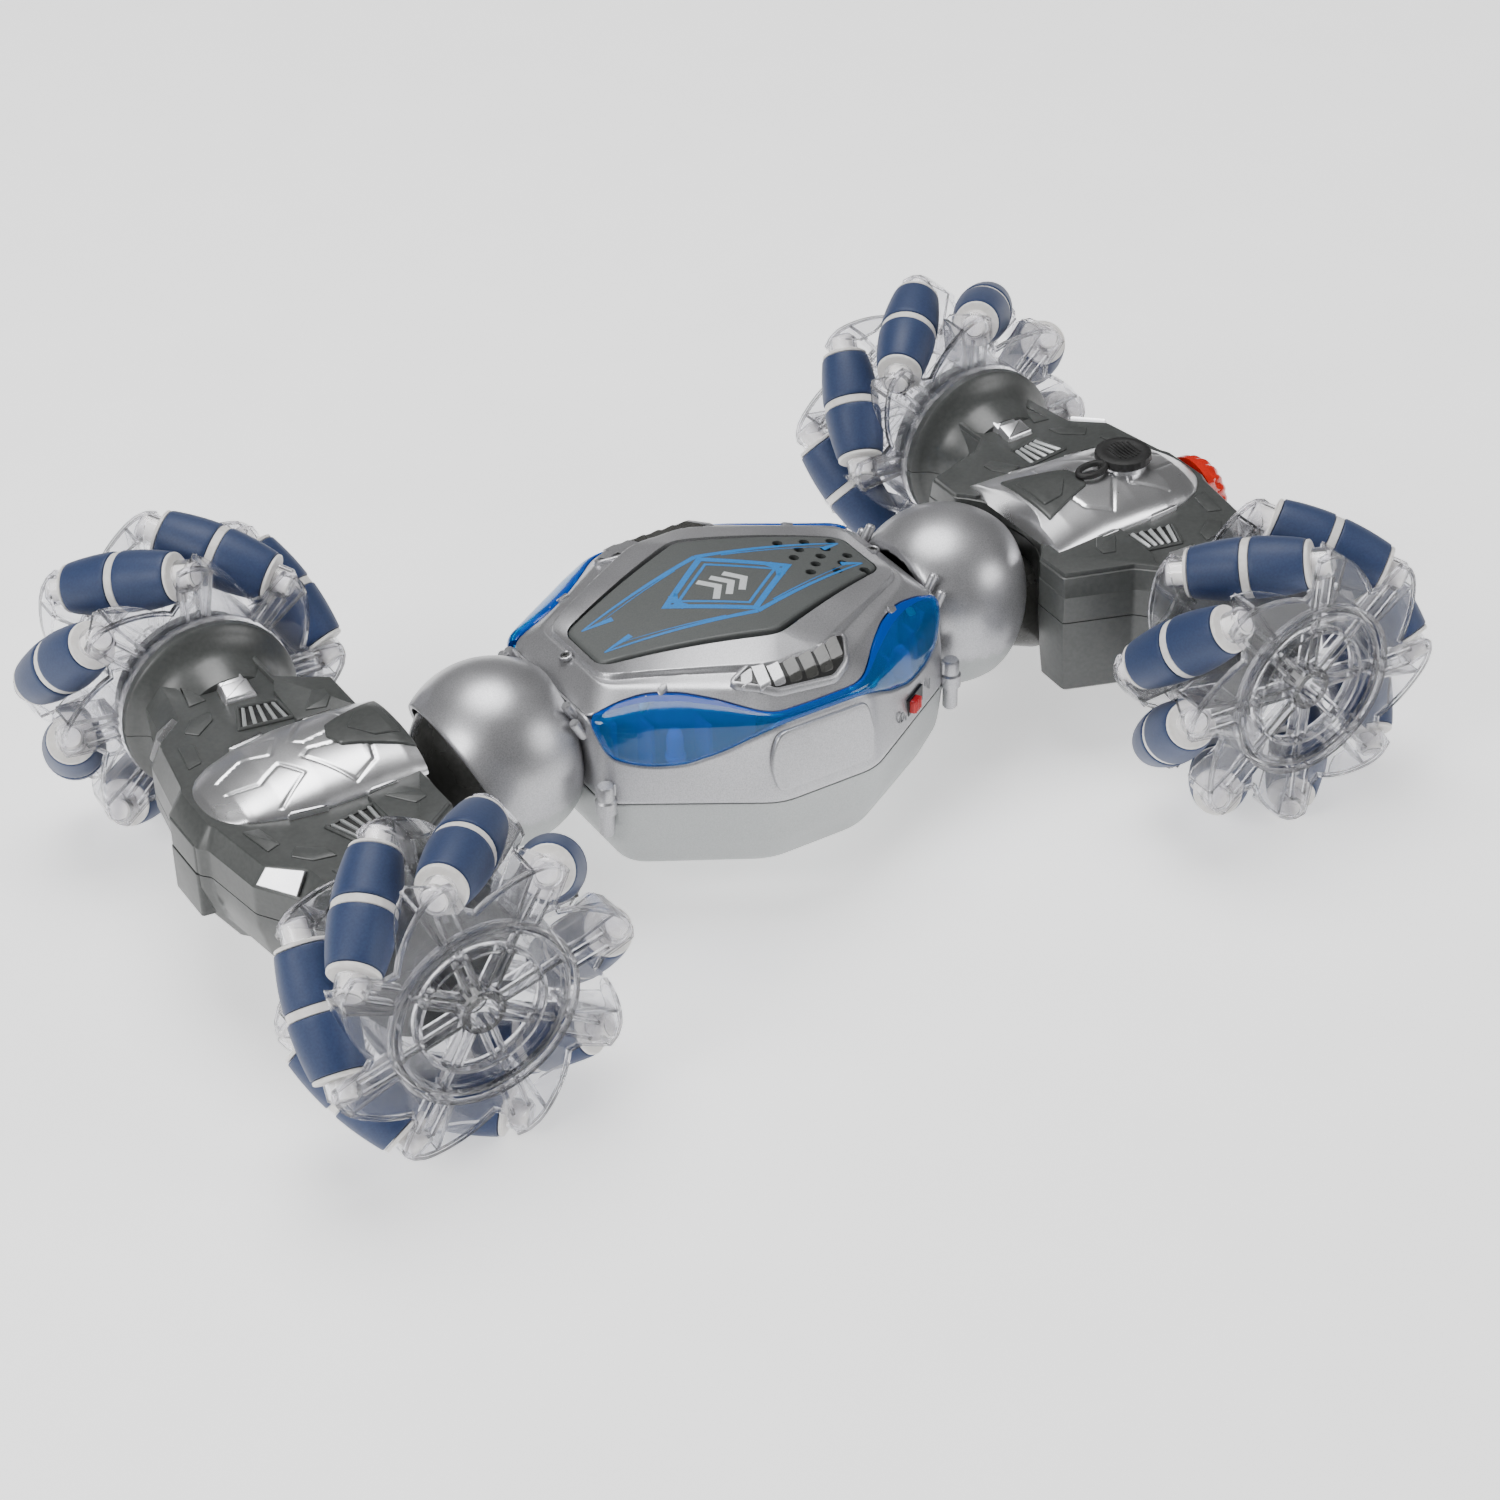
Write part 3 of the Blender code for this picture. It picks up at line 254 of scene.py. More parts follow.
def finish_of(name, shader_values, colours=None, grain_mm=0.5, shade=0.5, rough=None, bump=None,
              see_through=None, clearness=0.0):
    """A material whose colour and roughness wander with a grain of a real size.

    colours are the two ends of the grain, rough the two ends of roughness, and bump is the
    height in mm of the same grain. see_through lets lamps through, tinted by that colour, and
    clearness is the share of thin walls that light passes without bending.
    """
    made = bpy.data.materials.new(name)
    made.use_nodes = True
    tree = made.node_tree
    shader = tree.nodes["Principled BSDF"]
    for key, value in shader_values.items():
        shader.inputs[key].default_value = value
    place = add(tree, "ShaderNodeTexCoord")
    grain = add(tree, "ShaderNodeTexNoise", {"Vector": place.outputs["Object"]},
                {"Scale": 1 / (grain_mm * MM), "Detail": 3})
    source = grain.outputs["Fac"]
    if colours:
        ramp = add(tree, "ShaderNodeValToRGB", {"Fac": source})
        ramp.color_ramp.elements[0].position = shade - COLOUR_BLEND
        ramp.color_ramp.elements[1].position = shade + COLOUR_BLEND
        ramp.color_ramp.elements[0].color = rgb(colours[0])
        ramp.color_ramp.elements[1].color = rgb(colours[1])
        tree.links.new(ramp.outputs["Color"], shader.inputs["Base Color"])
    if rough:
        wander = add(tree, "ShaderNodeTexNoise", {"Vector": place.outputs["Object"]},
                     {"Scale": 1 / (WEAR_MM * MM), "Detail": 4})
        span = add(tree, "ShaderNodeMapRange", {"Value": wander.outputs["Fac"]},
                   {"From Min": 0.3, "From Max": 0.7, "To Min": rough[0], "To Max": rough[1]})
        tree.links.new(span.outputs["Result"], shader.inputs["Roughness"])
    if bump:
        relief = add(tree, "ShaderNodeBump", {"Height": source},
                     {"Strength": 1.0, "Distance": bump * MM})
        tree.links.new(relief.outputs["Normal"], shader.inputs["Normal"])
    if see_through:
        out = tree.nodes["Material Output"]
        path = add(tree, "ShaderNodeLightPath")
        clear = add(tree, "ShaderNodeBsdfTransparent", values={"Color": rgb(see_through)})
        body = add(tree, "ShaderNodeMixShader", {1: shader.outputs[0], 2: clear.outputs[0]})
        body.inputs[0].default_value = clearness
        mix = add(tree, "ShaderNodeMixShader", {0: path.outputs["Is Shadow Ray"],
                                                1: body.outputs[0], 2: clear.outputs[0]})
        tree.links.new(mix.outputs[0], out.inputs["Surface"])
    return made


# Silver metallic paint over moulded ABS: a satin sheen with fine aluminium flakes.
SILVER = finish_of("metallic silver paint on ABS", {"Metallic": 0.7, "Coat Weight": 0.1},
                   ("#9E9EA1", "#BCBCBF"), 0.35, 0.45, (0.3, 0.4), 0.012)
# The same paint with no clear coat on the tray: flatter and a little lighter.
TRAY_SILVER = finish_of("matt silver paint on ABS", {"Metallic": 0.35},
                        ("#A2A5A5", "#B2B5B5"), 0.4, 0.45, (0.4, 0.48), 0.008)
# Satin chrome-look paint: brighter, with long soft highlights.
PLATED = finish_of("satin plated ABS", {"Metallic": 0.9, "Coat Weight": 0.3, "Coat Roughness": 0.2},
                   ("#E6E6E8", "#F0F0F2"), 0.5, 0.5, (0.27, 0.33))
# Mid grey moulded ABS: semi-gloss with a faint mould texture.
GREY = finish_of("moulded grey ABS", {"Specular IOR Level": 0.5, "IOR": 1.54},
                 ("#414342", "#494B4A"), 1.4, 0.5, (0.3, 0.4), 0.01)
# Darker grey ABS of the ball necks.
DARK_GREY = finish_of("moulded dark grey ABS", {"IOR": 1.54},
                      ("#3A3A38", "#434341"), 1.4, 0.5, (0.22, 0.32), 0.008)
# Matt grey of the deck panel, spark-eroded mould grain.
DECK = finish_of("grained grey ABS", {"IOR": 1.54}, ("#4A4D4C", "#535655"), 0.45, 0.5,
                 (0.46, 0.56), 0.02)
# Screen-printed inks, flat and thin.
BLUE_INK = finish_of("blue screen ink", {"IOR": 1.5}, ("#1F74BE", "#2A80C8"), 0.6, 0.5, (0.4, 0.5))
PALE_INK = finish_of("pale grey screen ink", {"IOR": 1.5}, ("#BFC3C4", "#CBCFD0"), 0.6, 0.5,
                     (0.4, 0.5))
DARK_INK = finish_of("grey pad print", {"IOR": 1.5}, ("#7C7D7F", "#858688"), 0.6, 0.5, (0.4, 0.5))
# Navy thermoplastic rubber of the rollers: soft satin with specks of dust.
NAVY = finish_of("moulded navy rubber", {"IOR": 1.5, "Sheen Weight": 0.15, "Sheen Roughness": 0.5},
                 ("#1D2F54", "#24385F"), 0.7, 0.5, (0.5, 0.62), 0.02)
# White nylon of the roller cores: waxy and slightly translucent.
NYLON = finish_of("moulded white nylon", {"IOR": 1.53, "Subsurface Weight": 0.15,
                                          "Subsurface Radius": (0.002, 0.002, 0.0018),
                                          "Subsurface Scale": 1.0},
                  ("#DEDBD6", "#EAE8E4"), 1.5, 0.5, (0.36, 0.46))
# Clear polycarbonate: water-clear with a faint violet tint and flow marks.
CLEAR = finish_of("clear polycarbonate", {"IOR": 1.34, "Transmission Weight": 1.0,
                                          "Base Color": rgb("#FAFAFC")},
                  None, 9.0, 0.5, (0.0, 0.03), 0.015, see_through="#F6F6F8", clearness=0.12)
# Tinted polycarbonate windows over the lamps.
BLUE = finish_of("blue polycarbonate", {"IOR": 1.5, "Transmission Weight": 0.8,
                                        "Specular IOR Level": 0.12, "Base Color": rgb("#0C86C8")},
                 None, 8.0, 0.5, (0.06, 0.12), 0.02, see_through="#58B4E4")
DEEP_BLUE = finish_of("thick blue polycarbonate", {"IOR": 1.5, "Transmission Weight": 0.4,
                                                   "Specular IOR Level": 0.12,
                                                   "Base Color": rgb("#0A50B4")},
                      None, 8.0, 0.5, (0.1, 0.16), 0.02, see_through="#2C7CCC")
LAMP = finish_of("frosted lamp epoxy", {"IOR": 1.5, "Subsurface Weight": 0.2},
                 ("#9BD4EE", "#B4E0F4"), 1.0, 0.5, (0.2, 0.3))
REFLECTOR = finish_of("pale blue ABS", {"IOR": 1.54}, ("#3C86A8", "#4A94B6"), 3.0, 0.5, (0.4, 0.5))
# Black rubber of the filler cap.
BLACK_RUBBER = finish_of("moulded black rubber", {"IOR": 1.5}, ("#161616", "#212121"), 0.8, 0.5,
                         (0.5, 0.65), 0.03)
# Black ABS of the speaker. The same black is also painted shade in the screw crosses, the switch
# slot, the vents' gaps and the louvre wells.
BLACK = finish_of("black ABS and painted shade", {"IOR": 1.54}, ("#101010", "#191919"), 0.8, 0.5, (0.35, 0.5))
RED = finish_of("moulded red ABS", {"IOR": 1.54}, ("#C01519", "#D01C1E"), 0.9, 0.5, (0.3, 0.4))
RED_CLEAR = finish_of("red polycarbonate", {"IOR": 1.5, "Transmission Weight": 0.15,
                                            "Base Color": rgb("#D42E20")},
                      None, 2.0, 0.5, (0.12, 0.2), 0.03, see_through="#F08070")
STEEL = finish_of("zinc plated steel", {"Metallic": 1.0}, ("#8E8E8C", "#A8A8A6"), 0.6, 0.5,
                  (0.25, 0.38))
BOARD = finish_of("fibreglass circuit board", {"IOR": 1.5}, ("#1C5A34", "#236840"), 1.2, 0.5,
                  (0.35, 0.5))
MOTOR = finish_of("grey motor can", {"Metallic": 0.7}, ("#7C7C7A", "#8C8C8A"), 0.8, 0.5,
                  (0.35, 0.45))
PACK = finish_of("blue shrink film", {"IOR": 1.5}, ("#1E3A70", "#26467F"), 2.0, 0.5, (0.2, 0.35))


# ---- wheels -----------------------------------------------------------------
def wheel_axes(sx, sy, phase):
    """The wheel's own frame: Z out of its spoked face, X through its first roller."""
    hub = axes((sx * WHEEL_X, sy * WHEEL_Y, AXLE_Z), (0, sy, 0), (0, 0, 1))
    return hub @ spin(math.radians(sy * phase))


def roller_axes(hand, k):
    """Roller k in the wheel's frame: Z along it at 45 degrees, X away from the wheel's axis."""
    angle = k / ROLLERS * TURN
    outwards = np.array((math.cos(angle), math.sin(angle), 0))
    around = np.array((-math.sin(angle), math.cos(angle), 0))
    return axes(outwards * ROLLER_AXIS, hand * around + (0, 0, 1), outwards)


def rubber_radius(along):
    """Radius of a roller that touches the wheel's round envelope, by distance along it."""
    return ROLLER_ENVELOPE - np.hypot(ROLLER_AXIS, along / math.sqrt(2))


def roller_rubber():
    """Two barrel-shaped sleeves: the envelope's radius between rounded ends, turned about Z."""
    near, far, bore, lip = 1.45, 16.8, 3.6, 0.45
    along = np.linspace(near + lip, far - lip, 14)
    outer = np.column_stack([rubber_radius(along), along])
    start = [(bore, near), (outer[0, 0] - lip, near), (outer[0, 0] - 0.12, near + 0.13)]
    end = [(outer[-1, 0] - 0.14, far - 0.14), (outer[-1, 0] - lip, far), (bore, far)]
    half = np.concatenate([start, outer, end])
    return joined(ring_loop(half, 36), ring_loop(half * (1, -1), 36))


def ring_loop(profile, steps=48, finish=0, ripple=None):
    """A closed (radius, height) profile turned about Z into a solid ring."""
    points, _, _ = turned(profile, steps, finish, ripple)
    return grid(points.reshape(len(profile), steps, 3), wrap=True, loop=True, finish=finish)


def roller_core():
    """White core: stub, flange and middle ring of one half, then the same mirrored."""
    middle = rubber_radius(0) - 0.35
    half = np.array([(0, 23.6), (2.9, 23.6), (3.3, 23.1), (3.3, 18.2), (6.8, 18.2), (7.2, 17.9),
                     (7.2, 17.2), (6.9, 17.0), (3.5, 17.0), (3.5, 1.25), (middle - 0.15, 1.25),
                     (middle, 1.05)])
    return turned(np.concatenate([half, half[::-1] * (1, -1)]), 32)


def star_radius(step):
    """Outline of the wheel's star web, by degrees past a socket: it drops beside the socket,
    where the roller lies, and rises in a straight line to the next one."""
    return np.interp(step % 45, (0, 4.5, 7.5, 12, 37, 40.5, 45),
                     (45.4, 44.8, 35.4, 33.4, 43.6, 44.8, 45.4))


def star_web(hand, face):
    """The star plate and its deep rim at one face, swept round the wheel by angle."""
    angle = np.arange(720) / 720 * TURN
    socket = math.degrees(SOCKET_TURN) * hand * face
    step = -hand * face * (np.degrees(angle) - socket)
    outer = star_radius(step)
    deep = np.interp(step % 45, (0, 19, 24, 30, 38, 41, 45),
                     (16.7, 16.7, 13.0, 9.5, 8.0, 12.0, 16.0))
    ring = lambda radius, z: np.stack([radius * np.cos(angle), radius * np.sin(angle),
                                       face * z * np.ones_like(angle)], -1)
    plate = grid([ring(26.8 + 0 * outer, 17.9), ring(outer - 0.5, 17.9), ring(outer - 0.5, 16.8),
                  ring(26.8 + 0 * outer, 16.8)], wrap=True, loop=True)
    rim = grid([ring(outer, 18.5), ring(outer - 1.2, 18.5), ring(outer - 1.2, deep),
                ring(outer, deep)], wrap=True, loop=True)
    return joined(plate, rim)


def rib(angle, near, far, low, high, width=1.1, shift=0.0):
    """A thin upright plate along a radius, shifted sideways, from low to high along the axis."""
    plate = block((near, shift - width / 2, low), (far, shift + width / 2, high), 0.25)
    return moved(plate, spin(angle))


def socket_cup(end):
    """A blind cup round a roller's stub: bored wall, chamfered end and closed bottom."""
    profile = np.array([(3.5, 18.7), (4.7, 18.7), (4.7, 22.9), (3.2, 24.4), (0, 24.5), (0, 23.9),
                        (3.0, 23.9), (3.5, 23.4)])
    return ring_loop(profile * (1, end), 20)


def cage(hand):
    """Clear wheel body in its own frame: barrel, face rings, spokes, hub, star webs and cups."""
    skins = [ring_loop([(25.4, -18.4), (27.7, -18.4), (27.7, 18.6), (26.7, 18.6), (26.7, 15.6),
                        (25.4, 15.6)], 96),
             ring_loop([(24.0, 14.2), (25.6, 14.2), (25.2, 18.0), (24.2, 18.0)], 96),
             ring_loop([(17.6, 12.9), (19.2, 12.9), (18.9, 17.2), (17.9, 17.2)], 80),
             ring_loop([(18.4, 13.6), (25.0, 13.6), (25.0, 14.6), (18.4, 14.6)], 80),
             ring_loop([(4.0, -9.0), (5.8, -9.0), (6.6, 11.0), (6.6, 17.4), (6.1, 17.9), (4.4, 17.9),
                        (4.0, 17.4)], 32),
             ring_loop([(3.6, 9.0), (6.2, 9.0), (6.2, 10.2), (3.6, 10.2)], 32)]
    for k in range(ROLLERS):
        angle = (k + 0.5) / ROLLERS * TURN
        for shift in (-1.5, 1.5):
            skins.append(rib(angle, 6.0, 18.2, 12.0, 16.2, 1.2, shift))
        skins.append(rib(angle, 18.6, 25.0, 13.8, 16.4, 1.4))
        place = roller_axes(hand, k)
        for face in (1, -1):
            socket = angle - TURN / ROLLERS / 2 + SOCKET_TURN * hand * face
            skins.append(moved(socket_cup(face), place))
            low, high = sorted((face * 13.8, face * 18.2))
            for shift in (-2.4, 2.4):
                skins.append(rib(socket, 27.2, 37.6, low, high, 1.1, shift))
            low, high = sorted((face * 7.0, face * 17.4))
            skins.append(rib(socket - hand * face * math.radians(36), 27.2, 42.4, low, high))
    skins += [star_web(hand, 1), star_web(hand, -1)]
    return joined(*skins)


def make_wheels():
    """Four wheels, each the same cage and rollers in the hand its corner needs."""
    sleeve, core = roller_rubber(), roller_core()
    axle = turned([(0, -18.0), (2.7, -18.0), (2.7, 8.4), (3.3, 8.6), (3.3, 10.6), (2.9, 11.0),
                   (0, 11.0)], 24)
    bodies = {}
    for end, sx in ENDS:
        for side, sy in SIDES:
            corner = end + "_" + side
            hand = sx * sy
            place = wheel_axes(sx, sy, ROLLER_PHASE[corner])
            if hand not in bodies:
                bodies[hand] = cage(hand)
            piece("wheel_body_" + corner, moved(bodies[hand], place), [CLEAR], "wheel_" + corner,
                  ["wheel_cage_" + corner])
            piece("wheel_axle_" + corner, moved(axle, place), [STEEL], "wheel_" + corner)
            for k in range(ROLLERS):
                spot = place @ roller_axes(hand, sy * k)
                name = "%s_%d" % (corner, k + 1)
                piece("roller_rubber_" + name, moved(sleeve, spot), [NAVY], "roller_" + name,
                      ["roller_" + name])
                piece("roller_core_" + name, moved(core, spot), [NYLON], "roller_" + name)


# ---- pod --------------------------------------------------------------------
def crown(x):
    """Height of the deck's arch along the pod."""
    return DECK_TOP - DECK_ARCH * (x / DECK_LENGTH) ** 2


def twelve(x1, y1, x2, y2):
    """The pod's outline: ends of the long side, middle of the slant and corner, mirrored round."""
    xm, ym = (x1 + x2) / 2, (y1 + y2) / 2
    half = np.array([(x2, y2), (xm, ym), (x1, y1), (-x1, y1), (-xm, ym), (-x2, y2)], float)
    return np.concatenate([half, -half])


SEAM = (16, 57, 59, 30)        # ends of the long side and of the corner, at the parting seam
LEVELS = 30                    # levels between two rows of a stack


def dense_ring(x1, y1, x2, y2, radius):
    """The rounded outline with its sides cut fine, into the parts that the seam's outline needs."""
    model = rounded(twelve(*SEAM), radius, 5)
    long = np.linalg.norm(np.roll(model, -1, 0) - model, axis=1)
    cuts = np.maximum(1, np.ceil(long / 1.3)).astype(int)
    ring = rounded(twelve(x1, y1, x2, y2), radius, 5)
    index = np.repeat(np.arange(len(ring)), cuts)
    t = ((np.arange(len(index)) - np.repeat(np.cumsum(cuts) - cuts, cuts)) / cuts[index])[:, None]
    return ring[index] * (1 - t) + np.roll(ring, -1, 0)[index] * t


def ring_stack(rows, width=5):
    """Rings blended in straight lines between rows, with the edges between facets rounded.

    A row is x1, y1, x2, y2, height, with None for a height that follows the deck's arch.
    The result is an array of levels by points round, and a running mean rounds the facets.
    """
    rings = []
    for x1, y1, x2, y2, height in rows:
        plan = dense_ring(x1, y1, x2, y2, 5.0)
        z = crown(plan[:, 0]) - DECK_SEAT if height is None else height + 0 * plan[:, 0]
        rings.append(np.column_stack([plan, z]))
    rings = np.array(rings)
    v = np.linspace(0, len(rows) - 1, LEVELS * (len(rows) - 1) + 1)
    low = np.minimum(v.astype(int), len(rows) - 2)
    part = (v - low)[:, None, None]
    stack = rings[low] * (1 - part) + rings[low + 1] * part
    for _ in range(2):
        pad = width // 2
        ends = [2 * stack[:1] - stack[pad:0:-1], stack, 2 * stack[-1:] - stack[-2:-2 - pad:-1]]
        tall = np.concatenate(ends)
        total = np.cumsum(np.concatenate([0 * tall[:1], tall]), 0)
        stack = (total[width:] - total[:-width]) / width
    return stack


def at_level(stack, level):
    """Points of a stack at fractional levels, an array of rows by points round."""
    low = np.clip(level.astype(int), 0, len(stack) - 2)
    part = (level - low)[..., None]
    col = np.arange(stack.shape[1])[None, :]
    return stack[low, col] * (1 - part) + stack[low + 1, col] * part


def outward(points, wrap=True):
    """Unit normals of a grid, by the cross product of its two directions, pointing outwards."""
    down = np.gradient(points, axis=0)
    if wrap:
        along = (np.roll(points, -1, 1) - np.roll(points, 1, 1)) / 2
    else:
        along = np.gradient(points, axis=1)
    normal = np.cross(along, down)
    normal /= np.maximum(np.linalg.norm(normal, axis=2), 1e-9)[..., None]
    away = points - (0, 0, 45)
    return normal * np.sign((normal * away).sum(2).mean())


def walled(points, wall, wrap=True, lip=0.3):
    """A sheet of points given a wall inwards, with rounded lips at its first and last rows."""
    normal = outward(points, wrap)
    inner = points - normal * wall
    first, last = points[:1] - normal[:1] * lip, points[-1:] - normal[-1:] * lip
    rows = np.concatenate([first, points[1:-1], last, inner[::-1]])
    return grid(rows, wrap=wrap, loop=True)


# Heights of the windows' edges by distance along the pod at its shoulder.
EDGE_X = (0, 14, 20, 28, 38, 47, 54, 58, 61)
UPPER_EDGE = (65.6, 65.8, 66.8, 68.6, 69.9, 69.8, 68.4, 66.6, 65.2)
LOWER_EDGE = (62.8, 62.8, 60.6, 55.6, 51.4, 50.6, 52.2, 54.6, 56.8)
WINDOW_END = 24.2              # windows stop this far from the middle of the pod's ends


def pod_stack():
    """The cover's rows: seam, shoulder, upper crease and the deck's edge."""
    return ring_stack([(*SEAM, 39.2), (16, 53, 60, 25, 64.0), (14, 44, 52, 18, 71.0),
                       (2, 29.1, 48.1, 10.5, None)])


def window_levels(stack):
    """For each point round, the levels where the windows' lower and upper edges cross it."""
    found = []
    for table in (LOWER_EDGE, UPPER_EDGE):
        above = stack[..., 2] - np.interp(np.abs(stack[LEVELS, :, 0]), EDGE_X, table)
        row = np.argmax(above > 0, axis=0)
        col = np.arange(stack.shape[1])
        a, b = above[row - 1, col], above[row, col]
        found.append(row - 1 + a / (a - b))
    tip = found[0] * 0.25 + found[1] * 0.75
    reach = np.abs(stack[LEVELS, :, 1])
    opening = np.clip((reach - WINDOW_END) / 2.0, 0, 1) ** 0.4
    edges = [tip + (level - tip) * opening for level in found]
    soften = np.array([1, 2, 3, 4, 5, 4, 3, 2, 1]) / 25
    edges = [np.convolve(np.concatenate([e[-4:], e, e[:4]]), soften, "valid") for e in edges]
    return edges, opening


def make_cover():
    """Pod cover: the stack below the windows and above them, each a walled sheet."""
    stack = pod_stack()
    (low, high), _ = window_levels(stack)
    t = np.linspace(0, 1, 26)[:, None]
    skirt = at_level(stack, t * low[None, :])
    top = len(stack) - 1.001
    t = np.linspace(0, 1, 64)[:, None]
    level = high[None, :] + (top - high[None, :]) * t
    roof = at_level(stack, level)
    # The field round the deck is raised by a smooth step just above the shoulder.
    plateau = np.clip((level - 69.5) / 2.4, 0, 1)
    plateau = plateau * plateau * (3 - 2 * plateau)
    roof = roof + outward(roof) * (plateau * 1.7 - 0.3)[..., None]
    roof[-1] = at_level(stack, np.full_like(low, top)[None, :])[0] - (0, 0, 0.6)
    skins = [walled(skirt, COVER_WALL), walled(roof, COVER_WALL)]
    for sx in (-1, 1):
        for sy in (-1, 1):
            barrel = turned([(0, 30), (1.9, 30), (2.3, 30.6), (2.3, 37.4), (3.2, 37.8), (3.2, 41.6),
                             (2.6, 42.2), (2.6, 46.2), (2.2, 46.8), (0, 46.8)], 20)
            skins.append(moved(barrel, upright(sx * 59.2, sy * 31.4)))
            skins.append(block((min(sx * 56, sx * 61.5), sy * 30.6 - 1.4, 42.6),
                               (max(sx * 56, sx * 61.5), sy * 30.6 + 1.4, 46.4)))
    pad = slab([(-16.5, -9.2), (15.0, -9.2), (16.4, 0), (14.5, 9.4), (-15.0, 9.4), (-17.6, 5),
                (-18.6, 0), (-18.0, -5)], -0.5, 0.9, 0.7, 2.5)
    for sy in (-1, 1):
        tilt = (0, sy * 24.8, 4.0)
        skins.append(moved(pad, axes((0, sy * 55.15, 51.8), tilt, (1, 0, 0))))
        skins.append(vent_frame(sy))
    for x in (-38.0, -44.0, 40.0, 46.0):
        for sy in (-1, 1):
            skins.append(slab([(x - 1.6, sy * 29.4 - 1), (x + 1.6, sy * 28.4 - 1),
                               (x + 1.4, sy * 28.4 + 1), (x - 1.8, sy * 29.4 + 1)],
                              -1, 0.5, 0.3, 0.8, shoulder_height))
    piece("pod_upper_shell", joined(*skins), [SILVER], "pod", ["pod_cover"], 40)
    belly = ring_stack([(13, 40, 38, 23, 8.0), (15, 49, 51, 28, 14.0), (16, 54.6, 57, 30, 25.0),
                        (*SEAM, 38.8)], 9)
    middle = belly[:1] * (0.02, 0.02, 1)
    rows = np.concatenate([middle, belly[:1] * (0.9, 0.9, 1), belly[:-1],
                           belly[-1:] * (0.997, 0.997, 1), belly[-1:] * (0.955, 0.955, 1),
                           belly[::-6] * (0.955, 0.945, 1) + (0, 0, 1.6), middle + (0, 0, 1.8)])
    piece("pod_lower_shell", grid(rows, wrap=True, caps=True), [TRAY_SILVER], "pod", ["pod_tray"],
          50)
    return stack


def shoulder_height(x, y):
    """Height of the cover's shoulder beside the deck, from the slopes of its facets."""
    out = np.abs(y) + 0.68 * np.maximum(0, np.abs(x) - 15)
    top = crown(x) - DECK_SEAT
    upper = top + (71.0 - top) * (out - 29.2) / 14.8
    return np.where(out < 44, upper, 71.0 - (out - 44) * 0.778)


# Outline of the vent in plan, on the right side.
VENT = np.array([(-21.0, 38.6), (-6.0, 33.0), (18.0, 36.2), (13.0, 45.0), (7.5, 47.6),
                 (-11.0, 46.0)])


def vent_frame(sy):
    """A raised bead round the vent: a profile of inset and lift carried along its outline."""
    outer = rounded(anticlockwise(VENT * (1, sy)), 1.5)
    rings = []
    for inwards, lift in ((-1.2, -0.6), (-1.0, 0.75), (-0.5, 1.05), (0.0, 1.0), (0.3, 0.5),
                          (0.3, -0.6)):
        ring = inset(outer, inwards)
        rings.append(np.column_stack([ring, shoulder_height(ring[:, 0], ring[:, 1]) + lift]))
    return grid(rings, wrap=True, loop=True)


def make_vents():
    """Grille inserts: three grained silver slats and four dark ones, each rising to the rear, on a
    black plate of painted shade for the gaps between them.
    """
    lean = 2.2
    for side, sy in SIDES:
        # The black base plate is painted shade showing between the slats.
        base = dense_slab(VENT * (1, sy), -0.5, 0.45, shoulder_height)
        slats = []
        for k, x in enumerate((-17.5, -13.2, -8.6, -3.6, 1.6, 6.6, 11.2)):
            wide = 3.7 if k < 3 else 4.0
            near = np.interp(x + 2, (-21, -6, 18), (38.6, 33.0, 36.2)) + 1.0
            far = np.interp(x + 2, (-21, -11, 7.5, 13), (38.6, 46.0, 47.6, 45.0)) - 1.0
            outline = [(x, near), (x + wide, near), (x + wide - lean, far), (x - lean, far)]

            def rise(px, py, x=x, far=far, near=near):
                back = px - x + lean * (np.abs(py) - near) / (far - near)
                return shoulder_height(px, py) + 0.17 * np.clip(back, 0, 6)

            finish = 1 if k < 3 else 2
            slats.append(dense_slab(np.array(outline) * (1, sy), -0.4, 0.5, rise, finish))
        piece("vent_" + side, joined(base, *slats), [BLACK, SILVER, DARK_GREY], "pod", ())


